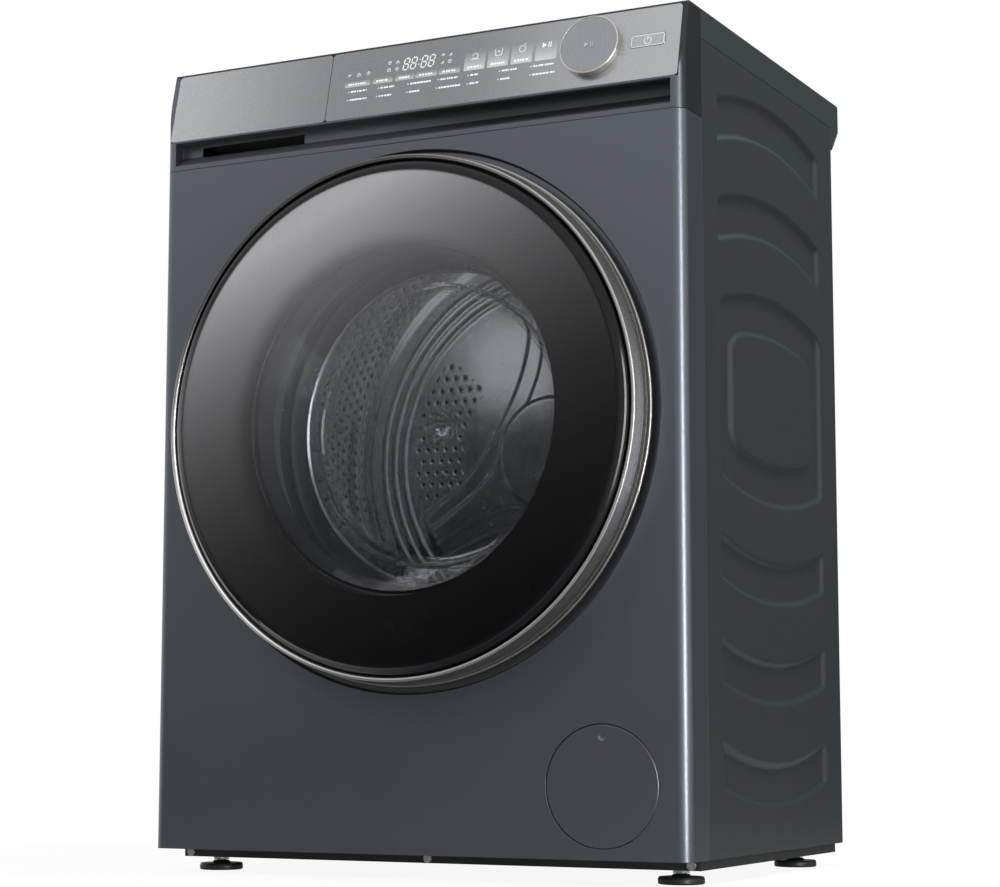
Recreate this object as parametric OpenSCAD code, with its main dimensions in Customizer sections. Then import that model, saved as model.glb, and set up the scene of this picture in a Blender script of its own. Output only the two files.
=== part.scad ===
// Front loading washing machine with a slim cabinet, a hung tub and a direct drive drum.
// X runs to the right, Y to the rear and Z up. The origin is on the floor, half way between
// the door glass and the rear edge of the top cover.

/* [Cabinet] */
// Width over the side panels
cabinet_w = 600; // [596:1:640]
// Height from the floor to the top cover
cabinet_h = 850; // [845:1:880]
// Depth from the front panel's face to the rear edge of the top cover
cabinet_d = 462; // [460:1:500]
// Height of the panels' lower edge above the floor
floor_gap = 24; // [22:1:30]
// Thickness of the steel sheet
sheet_t = 1.2; // [0.8:0.1:1.5]
// Radius of the upright front corners
corner_r = 12; // [8:1:16]
// Depth of the front panel's turned sides
front_wrap = 48.5; // [44:0.5:54]
// Width of an open seam between two outer panels
seam_gap = 0.5; // [0.3:0.1:0.8]
// Width of the flange turned in along a panel's edge
flange_w = 14; // [10:1:18]
// Distance from the rear panel's face to the rear edge of the top cover
rear_overhang = 25; // [18:1:28]

/* [Side panel pressing] */
// Height of one pressed band
band_h = 45; // [38:1:50]
// Distance from one band to the next
band_pitch = 101.5; // [96:0.5:103]
// Length of a band along the side
band_len = 306; // [280:1:316]
// Radius of the arcs that bound the bands
band_arc_r = 560; // [520:5:640]
// Depth of the pressing
band_depth = 4; // [2:0.5:5]
// Width of a band's sloped wall
band_wall = 6; // [4:0.5:8]
// Height of the pressed ring at its middle
ring_h = 217; // [206:1:220]
// Height of the pressed ring's middle above the floor
band_mid_z = 481; // [476:1:486]
// Bands above the ring
bands_above = 2; // [1:1:2]
// Bands below the ring
bands_below = 3; // [1:1:3]
// Width of the pressed ring at its front and rear
ring_side_w = 42; // [34:1:50]

/* [Top cover] */
// Height of the cover's side band
cover_band_h = 30; // [26:1:32]
// Wall thickness of the cover
cover_t = 3; // [2.5:0.5:4]
// Height of the sloped skirt under the cover's rear edge
skirt_h = 25; // [20:1:28]
// Distance from the rear edge to the joint with the rear trim
rear_trim_d = 110; // [90:5:130]

/* [Control fascia] */
// Height of the fascia from the front panel to the top of the cover
fascia_h = 110; // [106:1:114]
// Height of the glass front from its lower to its upper edge
glass_h = 76; // [74:1:80]
// Distance that the glass leans back over its height
glass_lean = 18; // [14:1:20]
// Thickness of the glass front
glass_t = 3; // [2.5:0.5:4]
// Distance from the glass's upper edge to the cover's top
glass_top_gap = 2; // [2:0.5:3]
// Wall thickness of the plastic mouldings
wall_t = 2.5; // [2:0.25:3]
// Distance from the side of the cabinet to the end of the glass
glass_end_gap = 6; // [5:0.5:8]
// Height of the lip between the grip groove and the panel seam
groove_lip_h = 5; // [4:0.5:7]
// Depth of the grip groove
groove_d = 15; // [12:1:18]
// Distance from the side of the cabinet to the end of the grip groove
groove_end_gap = 13; // [12:1:18]
// Diameter of the programme knob
knob_dia = 63; // [56:1:66]
// Height of the knob above the glass
knob_proud = 8.5; // [6:0.5:12]
// Distance of the knob's centre from the middle of the machine
knob_x = 200; // [190:1:205]
// Width of the power button
button_w = 37; // [30:1:40]
// Height of the power button
button_h = 13.5; // [11:0.5:16]
// Distance of the button's centre from the middle of the machine
button_x = 260; // [256:1:264]
// Travel of the power button
button_travel = 1.5; // [1:0.1:2]

/* [Detergent drawer] */
// Width of the drawer's front
drawer_front_w = 193; // [180:1:196]
// Depth of the drawer's tray
tray_d = 220; // [200:5:235]
// Width of the finger slot under the drawer's front
finger_slot_w = 128; // [110:1:140]
// Travel of the drawer
drawer_travel = 180; // [150:5:190]

/* [Door] */
// Height of the door's centre above the floor
door_z = 455; // [453:1:458]
// Diameter of the door's glass
door_glass_dia = 515; // [505:1:518]
// Distance that the glass stands in front of the panel
door_proud = 38; // [36:1:42]
// Radius of the rolled edge of the door's glass
glass_edge_r = 10; // [8:1:11]
// Thickness of the door's glass
door_glass_t = 4; // [3:0.5:5]
// Width of the metal ring round the glass
trim_ring_w = 7.5; // [6:0.5:9]
// Radius of the window inside the door's frame
window_r = 179; // [174:1:182]
// Diameter of the recess in the panel round the door
door_recess_dia = 550; // [546:1:554]
// Depth of the recess round the door
door_recess_d = 6; // [5:0.5:7]
// Diameter of the porthole in the front panel
porthole_dia = 376; // [372:1:380]
// Radius of the clear bowl at its inner end
bowl_end_r = 148; // [140:1:150]
// Depth of the bowl behind the panel's face
bowl_d = 78; // [70:1:80]
// Wall thickness of the bowl
bowl_t = 4; // [3:0.5:5]
// Distance of the hinge's axis from the door's centre
hinge_x = 256; // [252:1:258]
// Distance of the hinge's axis in front of the panel
hinge_proud = 14; // [13:0.5:15]
// Diameter of the hinge pin
hinge_pin_dia = 6; // [5:0.5:7]
// Largest opening angle of the door
door_swing = 120; // [90:5:120]

/* [Drum and tub] */
// Radius of the drum
drum_r = 255; // [250:1:256]
// Depth of the drum
drum_d = 268; // [258:1:268]
// Thickness of the drum's steel
drum_t = 1; // [0.8:0.1:1.2]
// Radius of the drum's mouth
drum_mouth_r = 166; // [162:1:170]
// Distance of the drum's front behind the panel's face
drum_front_y = 80; // [79:1:82]
// Height of a lifter
lifter_h = 46; // [38:1:50]
// Lifters in the drum
lifters = 3; // [3:1:4]
// Gap between the drum and the tub's wall
tub_gap = 11; // [9:1:12]
// Wall thickness of the tub
tub_t = 3; // [2.5:0.5:3.5]
// Travel of the hung tub, up or down
tub_travel = 8; // [4:1:8]
// Ribs on the tub's rear wall
tub_ribs = 24; // [18:2:30]
// Diameter of the shaft in its front bearing
shaft_dia = 30; // [28:1:32]
// Diameter of the motor's rotor
rotor_dia = 290; // [270:2:296]
// Coils on the motor's stator
stator_teeth = 36; // [24:3:42]

/* [Service hatch and pump] */
// Diameter of the round hatch in the front panel
hatch_dia = 116.6; // [112:0.1:120]
// Distance of the hatch from the middle of the machine
hatch_x = 211; // [205:1:215]
// Height of the hatch's centre above the floor
hatch_z = 93; // [92:1:96]
// Gap round the hatch
hatch_gap = 0.8; // [0.6:0.1:1]

/* [Base and feet] */
// Distance of the base behind the front panel's face
base_inset = 46; // [42:1:48]
// Height of the base's underside above the floor
base_z = 14; // [12:1:16]
// Diameter of a foot's pad
foot_dia = 45; // [40:1:50]
// Height of a foot's pad
foot_h = 7; // [5:1:8]
// Diameter of a foot's threaded stud
stud_dia = 10; // [8:1:12]
// Distance of the feet from the middle of the machine
foot_x = 262; // [255:1:266]
// Distance of the front feet behind the panel's face
foot_front_y = 70; // [68:1:76]
// Distance of the rear feet in front of the rear panel
foot_rear_gap = 48; // [40:1:56]

/* [Fits] */
// Clearance between pieces that move past each other
running_gap = 0.3; // [0.3:0.05:0.4]
// Radial clearance of a shaft in its bore
shaft_gap = 0.05; // [0.03:0.01:0.08]
// Gap between pieces that are fixed together
seat_gap = 0.1; // [0.05:0.05:0.2]

/* [Hidden] */

$fn = 96;
// A small extra length that carries a cut through a face
cut = 1;
half_w = cabinet_w / 2;
front_y = -(cabinet_d - door_proud) / 2;
rear_y = cabinet_d - rear_overhang;
side_y = front_wrap + seam_gap;
cover_z = cabinet_h - cover_band_h;
fascia_z = cabinet_h - fascia_h;

// Side panels
band_mid_y = (side_y + rear_y) / 2 - 3;
ring_half_h = ring_h / 2;
island_half_h = ring_half_h - band_h;
spring_x = half_w - 44;
hanger_half_w = 14;
hanger_half_d = 20;
hanger_t = 3;

// Front panel
recess_r = door_recess_dia / 2;
porthole_r = porthole_dia / 2;
collar_y = door_recess_d + 10;
front_top_z = fascia_z - seam_gap;
lock_slot_w = 13;
lock_slot_h = 26;

// Rear panel
rear_top_z = cabinet_h - cover_t - 2;
rear_half_w = half_w - sheet_t - seat_gap;
cover_plate_w = 340;
cover_plate_z = door_z + 5;
cover_plate_r = 40;
cover_lap = 12;
dish_r = 130;
dish_d = 8;
louvre_half_w = 45;
louvre_h = 6;
louvre_pitch = 20;
bead_w = 420;
bead_h = 20;
bead_d = 6;
bead_zs = [floor_gap + 40, floor_gap + 90, door_z + 290];
cover_bolt = cover_plate_w / 2 - cover_plate_r + 0.7 * (cover_plate_r - cover_lap / 2);
transit_x = 175;
transit_zs = [door_z - 195, door_z + 205];
transit_r = 14;
valve_x = -235;
valve_z = cover_z - 55;
valve_r = 14.5;
thread_r = 13.2;
gland_x = 240;
gland_z = cover_z - 50;
gland_r = 9;
spigot_x = -235;
spigot_z = valve_z - 70;
spigot_r = 11;

// Top cover
cover_front_y = glass_lean * (glass_h + 1) / glass_h;
trim_y = cabinet_d - rear_trim_d;
cover_edge_r = 3;

// Base and feet
base_half_w = half_w - 8;
base_rear_y = rear_y - 2 * sheet_t - 1;
base_wall = 3;
base_floor_t = 3;
base_h = 26;
foot_boss_r = 16;
base_screw_r = 2;
base_screw_z = base_z + 5;
base_rib_xs = [-180, -60, 60];
clevis_half_w = 11;
clevis_t = 4;
clevis_gap = 20;
clevis_ys = [-clevis_gap / 2 - clevis_t, clevis_gap / 2];
stud_r = stud_dia / 2;
foot_rear_y = rear_y - foot_rear_gap;
foot_places = [[-foot_x, foot_front_y], [foot_x, foot_front_y], [-foot_x, foot_rear_y], [foot_x, foot_rear_y]];
base_screw_xs = [-(half_w - 17), 0, half_w - 17];
damper_foot_x = 215;
damper_foot_z = base_z + base_h + 12;

// Control fascia
glass_top_z = cabinet_h - glass_top_gap;
glass_low_z = glass_top_z - glass_h;
lean = atan(glass_lean / glass_h);
glass_len = glass_h / cos(lean);
glass_half_w = half_w - glass_end_gap;
split_x = -glass_half_w + drawer_front_w;
split_gap = 0.7;
glass_bed = 0.3;
groove_half_w = half_w - groove_end_gap;
groove_low_z = fascia_z + groove_lip_h;
groove_shelf_z = groove_low_z + 11;
// Height of the knob's and button's centre line, along the leaning glass
control_line = glass_len * 0.54;
knob_shaft_r = 3;
key_window = [split_x + 18, knob_x - knob_dia / 2 - 8];
finger_slot_x = -half_w + 102;
drawer_hole = [-half_w + 12, split_x - 4];
drawer_low_z = glass_low_z + 4;
drawer_high_z = cabinet_h - cover_t - 5;

// Detergent drawer
tray_x0 = drawer_hole[0] + 5;
tray_x1 = drawer_hole[1] - 5;
tray_y0 = 21;
tray_z0 = drawer_low_z + 5;
tray_z1 = drawer_high_z - 8;
tray_wall = 2.2;
bay_split = 0.36;
housing_d = tray_y0 + tray_d + 25;
spout_x = tray_x1 - 40;

// Door
glass_r = door_glass_dia / 2;
door_frame_r = glass_r + trim_ring_w;
glass_front_y = -door_proud;
glass_back_y = glass_front_y + glass_edge_r + 1;
frame_front_y = glass_front_y + door_glass_t + 0.6;
door_back_y = -1.5;
bowl_rim_y = -15;
bowl_flange_t = 4;
hinge_half_h = 34;
pocket_half_h = hinge_half_h + 6;
pin_r = hinge_pin_dia / 2;
knuckle_r = pin_r + 4;
pocket_y = glass_back_y + 1;
lock_x = door_frame_r - 34;

// Tub
tub_in_r = drum_r + tub_gap;
tub_out_r = tub_in_r + tub_t;
tub_flange_r = tub_out_r + 12;
tub_mouth_r = 196;
tub_front_y = drum_front_y - 12;
drum_rear_y = drum_front_y + drum_d;
tub_split_y = drum_front_y + drum_d * 0.45;
tub_wall_y = drum_rear_y + 24;
hub_r = 42;
hub_front_y = tub_wall_y - 6;
hub_rear_y = tub_wall_y + 36;
sump_half_w = 62;
sump_z = door_z - tub_out_r - 22;
sump_y0 = tub_front_y + 16;
sump_y1 = tub_split_y + 70;
bearing_w = 16;
front_bearing_r = 31;
rear_bearing_r = 26;
shaft_r = shaft_dia / 2;
rear_shaft_r = shaft_r - 2.5;
front_bearing_y = hub_front_y + 3;
rear_bearing_y = hub_rear_y - 3 - bearing_w;
drain_x = 178;
drain_y = tub_front_y + 52;
drain_low_z = door_z - 230;
drain_r = 17;
inlet_h = 52;
rib_step_r = rotor_dia / 2 + 6;

// Motor
rotor_r = rotor_dia / 2;
rotor_wall = 3;
magnet_t = 5;
air_gap = 0.8;
stator_r = rotor_r - rotor_wall - magnet_t - air_gap;
stator_y0 = tub_wall_y + 13;
stator_y1 = stator_y0 + 22;
rotor_y0 = stator_y0 - 1;
rotor_y1 = hub_rear_y + 6;

// Weights and suspension
spring_wire = 3.2;
spring_hole_r = spring_wire * 0.8;
spring_coil_r = 10;
spring_y = tub_split_y + 24;
hanger_z = glass_low_z - 6;
spring_low_z = door_z + 190;
spring_turns = 9;
damper_y = tub_split_y + 34;
damper_pin_r = 4;
damper_top_x = 165;
damper_top_z = door_z - sqrt(pow(tub_out_r + 12, 2) - pow(damper_top_x, 2));
weight_y0 = collar_y + 12;
weight_y1 = tub_front_y - 6 - seat_gap;
weight_in_r = tub_mouth_r + 14;
weight_out_r = tub_in_r - 4;
heater_z = sump_z + tub_t + 10;

// Pump, filter and hatch
filter_r = 30;
pump_wall = 3;
pump_y0 = 22;
volute_y = 132;
pump_foot_z = base_z + base_floor_t + seat_gap;
impeller_shaft_r = 3;

// ---- Shared forms ----

// The machine is drawn from its front face, then moved so that the origin is mid depth
module placed() {
  translate([0, front_y, 0]) children();
}

// A solid of revolution about a level axis that runs to the rear: x is radius, y is depth
module revolve(x = 0, z = 0) {
  translate([x, 0, z]) rotate([-90, 0, 0]) rotate_extrude() children();
}

// A round bar that runs to the rear from depth y0 to y1
module bar_y(x, z, y0, y1, r) {
  translate([x, y0, z]) rotate([-90, 0, 0]) cylinder(h = y1 - y0, r = r);
}

// A box between two opposite corners
module box(low, high) {
  translate(low) cube(high - low);
}

// A plate seen from the side, as depth and height, drawn out along X
module side_profile(width) {
  rotate([90, 0, 90]) linear_extrude(width, center = true) children();
}

// A shape seen from the front, as X and height, drawn out from depth y0 to y1
module front_profile(y0, y1) {
  translate([0, y1, 0]) rotate([90, 0, 0]) linear_extrude(y1 - y0) children();
}

// A rectangle with round corners, about its middle
module round_rect(w, h, r) {
  square([w - 2 * r, h], center = true);
  square([w, h - 2 * r], center = true);
  for (sx = [-1, 1], sy = [-1, 1]) translate([sx * (w / 2 - r), sy * (h / 2 - r)]) circle(r);
}

// The cabinet seen from above: round front corners and an open rear
module cabinet_plan(inset, depth) {
  w = cabinet_w - 2 * inset;
  r = corner_r - inset;
  translate([0, inset]) {
    translate([-w / 2 + r, 0]) square([w - 2 * r, depth]);
    translate([-w / 2, r]) square([w, depth - r]);
    for (side = [-1, 1]) translate([side * (w / 2 - r), r]) circle(r);
  }
}

// The same outline in short flat steps, for the fascia and the cover
module stepped_plan(inset, depth) {
  w = half_w - inset;
  r = corner_r - inset;
  polygon(concat(arc([r - w, corner_r], r, 180, 270, 10), arc([w - r, corner_r], r, 270, 360, 10),
    [[w, depth + inset], [-w, depth + inset]]));
}

// Points along an arc, for the outline of a profile
function arc(centre, r, from, to, steps = 6) =
  [for (i = [0 : steps]) centre + r * [cos(from + (to - from) * i / steps),
                     sin(from + (to - from) * i / steps)]];

// Copies turned round the drum's axis
module round_drum(count, start = 0) {
  for (i = [0 : count - 1])
    translate([0, 0, door_z]) rotate([0, start + i * 360 / count, 0]) children();
}

// ---- Side panels ----

// A disc with a sloped rim, about a level axis across the machine. Its rim has the given
// radius at the panel's face and changes by the slope at the pressing's floor
module sloped_disc(z, r, slope, floor_x) {
  reach = half_w + cut - floor_x;
  rise = slope * reach / band_depth;
  translate([floor_x, band_mid_y, z]) rotate([0, 90, 0])
    cylinder(h = reach, r1 = r - rise + slope * cut / band_depth, r2 = r + slope * cut / band_depth);
}

// A bar along Z with sloped ends, which bounds the length of a band
module sloped_ends(length, slope, floor_x) {
  reach = half_w + cut - floor_x;
  rise = slope * reach / band_depth;
  top = length / 2 + slope * cut / band_depth;
  translate([0, band_mid_y, floor_gap]) linear_extrude(cover_z - floor_gap)
    polygon([[floor_x, -(top - rise)], [floor_x, top - rise], [half_w + cut, top], [half_w + cut, -top]]);
}

// One band that arches up or down, whose outer edge peaks at the given height
module pressed_band(peak_z, up, grow, floor_x) {
  middle = peak_z - up * band_arc_r;
  intersection() {
    difference() {
      sloped_disc(middle, band_arc_r + grow, band_wall, floor_x);
      sloped_disc(middle, band_arc_r - band_h - grow, -band_wall, floor_x);
    }
    sloped_ends(band_len + 2 * grow, band_wall, floor_x);
    translate([0, 0, up > 0 ? peak_z - 2 * band_h : peak_z - band_h])
      box([floor_x - cut, 0, 0], [half_w + 2 * cut, cabinet_d, 3 * band_h]);
  }
}

// A barrel shape between two arcs
module pressed_barrel(half_h, length, slope, floor_x) {
  intersection() {
    sloped_disc(band_mid_z + half_h - band_arc_r, band_arc_r, slope, floor_x);
    sloped_disc(band_mid_z - half_h + band_arc_r, band_arc_r, slope, floor_x);
    sloped_ends(length, slope, floor_x);
  }
}

module pressing(grow) {
  floor_x = half_w - band_depth - grow;
  for (i = [1 : bands_above])
    pressed_band(band_mid_z + ring_half_h + i * band_pitch, 1, grow, floor_x);
  for (i = [1 : bands_below])
    pressed_band(band_mid_z - ring_half_h - i * band_pitch, -1, grow, floor_x);
  difference() {
    pressed_barrel(ring_half_h + grow, band_len + 2 * grow, band_wall, floor_x);
    pressed_barrel(island_half_h - grow, band_len - 2 * (ring_side_w + grow), -band_wall, floor_x);
  }
}

module side_panel() {
  color("#34393c") {
    difference() {
      union() {
        box([half_w - sheet_t, side_y, floor_gap], [half_w, rear_y - sheet_t, cover_z - seam_gap]);
        intersection() {
          pressing(sheet_t);
          box([half_w - band_depth - sheet_t, side_y, floor_gap], [half_w, rear_y, cover_z - seam_gap]);
        }
      }
      pressing(0);
    }
    // Flanges along the four edges
    for (y = [side_y, rear_y - 2 * sheet_t])
      box([half_w - flange_w, y, floor_gap], [half_w - sheet_t, y + sheet_t, cover_z - seam_gap]);
    box([half_w - flange_w, side_y + sheet_t, floor_gap],
      [half_w - sheet_t, rear_y - 2 * sheet_t, floor_gap + sheet_t]);
    box([half_w - flange_w, side_y + sheet_t, cover_z - seam_gap - sheet_t],
      [half_w - sheet_t, rear_y - 2 * sheet_t, cover_z - seam_gap]);
    // Bracket that the tub's spring hangs from
    difference() {
      box([spring_x - hanger_half_w, spring_y - hanger_half_d, hanger_z - hanger_t],
        [half_w - sheet_t, spring_y + hanger_half_d, hanger_z]);
      translate([spring_x, spring_y, hanger_z - hanger_t - cut]) cylinder(h = hanger_t + 2 * cut, r = spring_hole_r);
    }
  }
}

module side_panel_right() {
  placed() side_panel();
}

module side_panel_left() {
  placed() mirror([1, 0, 0]) side_panel();
}

// ---- Front panel ----

module front_panel() {
  placed() color("#565c60") {
    difference() {
      translate([0, 0, floor_gap]) linear_extrude(front_top_z - floor_gap) cabinet_plan(0, front_wrap);
      translate([0, 0, floor_gap + sheet_t])
        linear_extrude(front_top_z - floor_gap - 2 * sheet_t) cabinet_plan(sheet_t, front_wrap);
      // The space between the flanges along the upper and lower edges
      box([-half_w + sheet_t, flange_w, floor_gap - cut], [half_w - sheet_t, front_wrap + cut, front_top_z + cut]);
      bar_y(0, door_z, -cut, sheet_t + cut, recess_r);
      bar_y(hatch_x, hatch_z, -cut, sheet_t + cut, hatch_dia / 2 + hatch_gap);
    }
    difference() {
      revolve(0, door_z) polygon([
        [recess_r - 2, door_recess_d], [recess_r, 0], [recess_r + sheet_t, 0], [recess_r + sheet_t, sheet_t],
        [recess_r - 2 + sheet_t, door_recess_d + sheet_t], [porthole_r + sheet_t, door_recess_d + sheet_t],
        [porthole_r + sheet_t, collar_y], [porthole_r, collar_y], [porthole_r, door_recess_d]]);
      translate([lock_x, 0, door_z])
        box([-lock_slot_w / 2, 0, -lock_slot_h / 2], [lock_slot_w / 2, collar_y, lock_slot_h / 2]);
    }
  }
}

// ---- Rear panel ----

module rear_holes(extra) {
  for (x = [-transit_x, transit_x], z = transit_zs)
    bar_y(x, z, rear_y - 20, rear_y + 20, transit_r + extra);
  bar_y(valve_x, valve_z, rear_y - 20, rear_y + 20, valve_r + extra);
  bar_y(gland_x, gland_z, rear_y - 20, rear_y + 20, gland_r + extra);
  bar_y(spigot_x, spigot_z, rear_y - 20, rear_y + 20, spigot_r + 3 + extra);
}

module rear_panel() {
  placed() color("#9a9da0") difference() {
    union() {
      box([-rear_half_w, rear_y - sheet_t, floor_gap], [rear_half_w, rear_y, cover_z - seam_gap]);
      box([-half_w + cover_t + running_gap, rear_y - sheet_t, floor_gap],
        [half_w - cover_t - running_gap, rear_y, rear_top_z]);
      // Stiffening beads pressed inwards above and below the service opening
      for (z = bead_zs)
        front_profile(rear_y - bead_d, rear_y - sheet_t) translate([0, z]) round_rect(bead_w, bead_h, bead_h / 2 - 0.1);
    }
    for (z = bead_zs)
      front_profile(rear_y - bead_d + sheet_t, rear_y + cut)
        translate([0, z]) round_rect(bead_w - 2 * sheet_t, bead_h - 2 * sheet_t, bead_h / 2 - 0.1 - sheet_t);
    front_profile(rear_y - sheet_t - cut, rear_y + cut) translate([0, cover_plate_z])
      round_rect(cover_plate_w - 2 * cover_lap, cover_plate_w - 2 * cover_lap, cover_plate_r - cover_lap);
    rear_holes(0);
  }
}

// The removable plate behind the motor, dished outwards
module rear_cover() {
  placed() color("#9a9da0") difference() {
    union() {
      front_profile(rear_y + seat_gap, rear_y + seat_gap + sheet_t) translate([0, cover_plate_z])
        round_rect(cover_plate_w, cover_plate_w, cover_plate_r);
      bar_y(0, cover_plate_z, rear_y + seat_gap, rear_y + seat_gap + dish_d, dish_r);
    }
    bar_y(0, cover_plate_z, rear_y, rear_y + seat_gap + dish_d - sheet_t, dish_r - sheet_t);
    for (i = [-4 : 4]) translate([0, 0, cover_plate_z + i * louvre_pitch])
      box([-louvre_half_w, rear_y, -louvre_h / 2], [louvre_half_w, rear_y + dish_d + cut, louvre_h / 2]);
  }
}

module transit_caps() {
  placed() color("#2a2c2e") for (x = [-transit_x, transit_x], z = transit_zs) {
    bar_y(x, z, rear_y + seat_gap, rear_y + 3, transit_r + 4);
    bar_y(x, z, rear_y - 12, rear_y + seat_gap, transit_r - seat_gap);
  }
}

// ---- Top cover ----

// The cover seen from the side, with its sloped rear skirt
module cover_outline() {
  polygon(concat([[side_y, cover_z], [side_y, cabinet_h]],
    arc([cabinet_d - cover_edge_r, cabinet_h - cover_edge_r], cover_edge_r, 90, 0, 4),
    [[cabinet_d, cover_z], [rear_y + seat_gap + cover_t, cover_z - skirt_h], [rear_y + seat_gap, cover_z - skirt_h],
     [rear_y + seat_gap, cover_z]]));
}

module cover_shell() {
  difference() {
    union() {
      side_profile(cabinet_w) cover_outline();
      // The thin plate that runs forward over the fascia
      translate([0, 0, cabinet_h - glass_top_gap]) linear_extrude(glass_top_gap) intersection() {
        stepped_plan(0, side_y + cut);
        translate([-half_w, cover_front_y]) square([cabinet_w, side_y + cut]);
      }
    }
    box([-half_w + cover_t, side_y - cut, cover_z - skirt_h - cut],
      [half_w - cover_t, rear_y + seat_gap, cabinet_h - cover_t]);
    side_profile(cabinet_w - 2 * cover_t) polygon([
      [rear_y - cut, cover_z - skirt_h + 6], [rear_y + seat_gap + cut, cover_z - skirt_h + 6],
      [cabinet_d - cover_t, cover_z + 1], [cabinet_d - cover_t, cabinet_h - cover_t],
      [rear_y - cut, cabinet_h - cover_t]]);
  }
}

module top_cover() {
  placed() color("#3a4043") intersection() {
    cover_shell();
    box([-cabinet_w, -cut, 0], [cabinet_w, trim_y, cabinet_h + cut]);
  }
}

module top_rear_trim() {
  placed() color("#3a4043") intersection() {
    cover_shell();
    box([-cabinet_w, trim_y + seat_gap, 0], [cabinet_w, cabinet_d + cut, cabinet_h + cut]);
  }
}

// ---- Base and feet ----

module base_frame() {
  inner_w = 2 * (base_half_w - base_wall - flange_w);
  placed() color("#25282a") difference() {
    union() {
      difference() {
        box([-base_half_w, base_inset, base_z], [base_half_w, base_rear_y, floor_gap - seat_gap]);
        box([-base_half_w + base_wall, base_inset + base_wall, base_z + base_floor_t],
          [base_half_w - base_wall, base_rear_y - base_wall, floor_gap + cut]);
      }
      // The upper walls stand inside the panels' lower flanges
      difference() {
        box([-inner_w / 2, side_y + flange_w, base_z], [inner_w / 2, base_rear_y - flange_w, base_z + base_h]);
        box([-inner_w / 2 + base_wall, side_y + flange_w + base_wall, base_z + base_floor_t],
          [inner_w / 2 - base_wall, base_rear_y - flange_w - base_wall, base_z + base_h + cut]);
      }
      // Cross ribs
      for (x = base_rib_xs)
        box([x - base_wall / 2, side_y + flange_w, base_z], [x + base_wall / 2, base_rear_y - flange_w, base_z + base_h - 8]);
      // Bosses for the feet
      for (p = foot_places) translate([p[0], p[1], base_z]) cylinder(h = floor_gap - base_z - seat_gap, r = foot_boss_r);
      // Brackets for the dampers' lower pins
      for (side = [-1, 1], dy = clevis_ys) translate([side * damper_foot_x, damper_y + dy, 0])
        box([-clevis_half_w, 0, base_z], [clevis_half_w, clevis_t, damper_foot_z + 8]);
    }
    for (p = foot_places) translate([p[0], p[1], base_z - cut]) cylinder(h = base_h, r = stud_r + shaft_gap);
    for (x = base_screw_xs) bar_y(x, base_screw_z, base_inset - cut, base_inset + 8, base_screw_r);
    for (side = [-1, 1])
      bar_y(side * damper_foot_x, damper_foot_z, damper_y - 20, damper_y + 20, damper_pin_r + shaft_gap);
  }
}

// The screws along the base's front strip and round the rear cover
module cabinet_screws() {
  placed() color("#c9ccce") {
    for (x = base_screw_xs) {
      bar_y(x, base_screw_z, base_inset - 2.5, base_inset - 0.01, 4.5);
      bar_y(x, base_screw_z, base_inset - 0.01, base_inset + 7, base_screw_r - shaft_gap);
    }
    for (x = [-cover_bolt, 0, cover_bolt], z = [-cover_bolt - 6, cover_bolt + 6])
      bar_y(x, cover_plate_z + z, rear_y + seat_gap + sheet_t, rear_y + seat_gap + sheet_t + 2.5, 4);
  }
}

module foot(place) {
  grip = foot_dia / 2;
  placed() color("#1d1f20") translate([place[0], place[1], 0]) {
    rotate_extrude() polygon(concat(
      [[0, 0], [grip - 3, 0]], arc([grip - 1.5, 1.5], 1.5, -90, 0, 3), [[grip, foot_h - 2]],
      [[grip - 1, foot_h], [stud_r + 5, foot_h], [stud_r + 3, foot_h + 2.5], [0, foot_h + 2.5]]));
    cylinder(h = floor_gap + 12, r = stud_r);
  }
}

module foot_front_left() { foot(foot_places[0]); }

module foot_front_right() { foot(foot_places[1]); }

module foot_rear_left() { foot(foot_places[2]); }

module foot_rear_right() { foot(foot_places[3]); }

module foot_locknuts() {
  placed() color("#b8bbbd") for (p = foot_places) translate([p[0], p[1], base_z - seat_gap - 3.5]) difference() {
    cylinder(h = 3.5, r = stud_r * 1.75, $fn = 6);
    translate([0, 0, -cut]) cylinder(h = 6, r = stud_r + shaft_gap);
  }
}

// ---- Control fascia ----

// The leaning frame of the glass: X as before, Z up along the glass, Y into the machine
module on_glass() {
  translate([0, 0, glass_low_z]) rotate([-lean, 0, 0]) children();
}

// A point of the leaning frame, seen from the side as depth and height
function lean_point(up, depth) =
  [up * sin(lean) + depth * cos(lean), glass_low_z + up * cos(lean) - depth * sin(lean)];

module glass_plate(x0, x1, y0, y1) {
  on_glass() front_profile(y0, y1) translate([(x0 + x1) / 2, glass_len / 2]) round_rect(x1 - x0, glass_len, 4);
}

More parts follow.
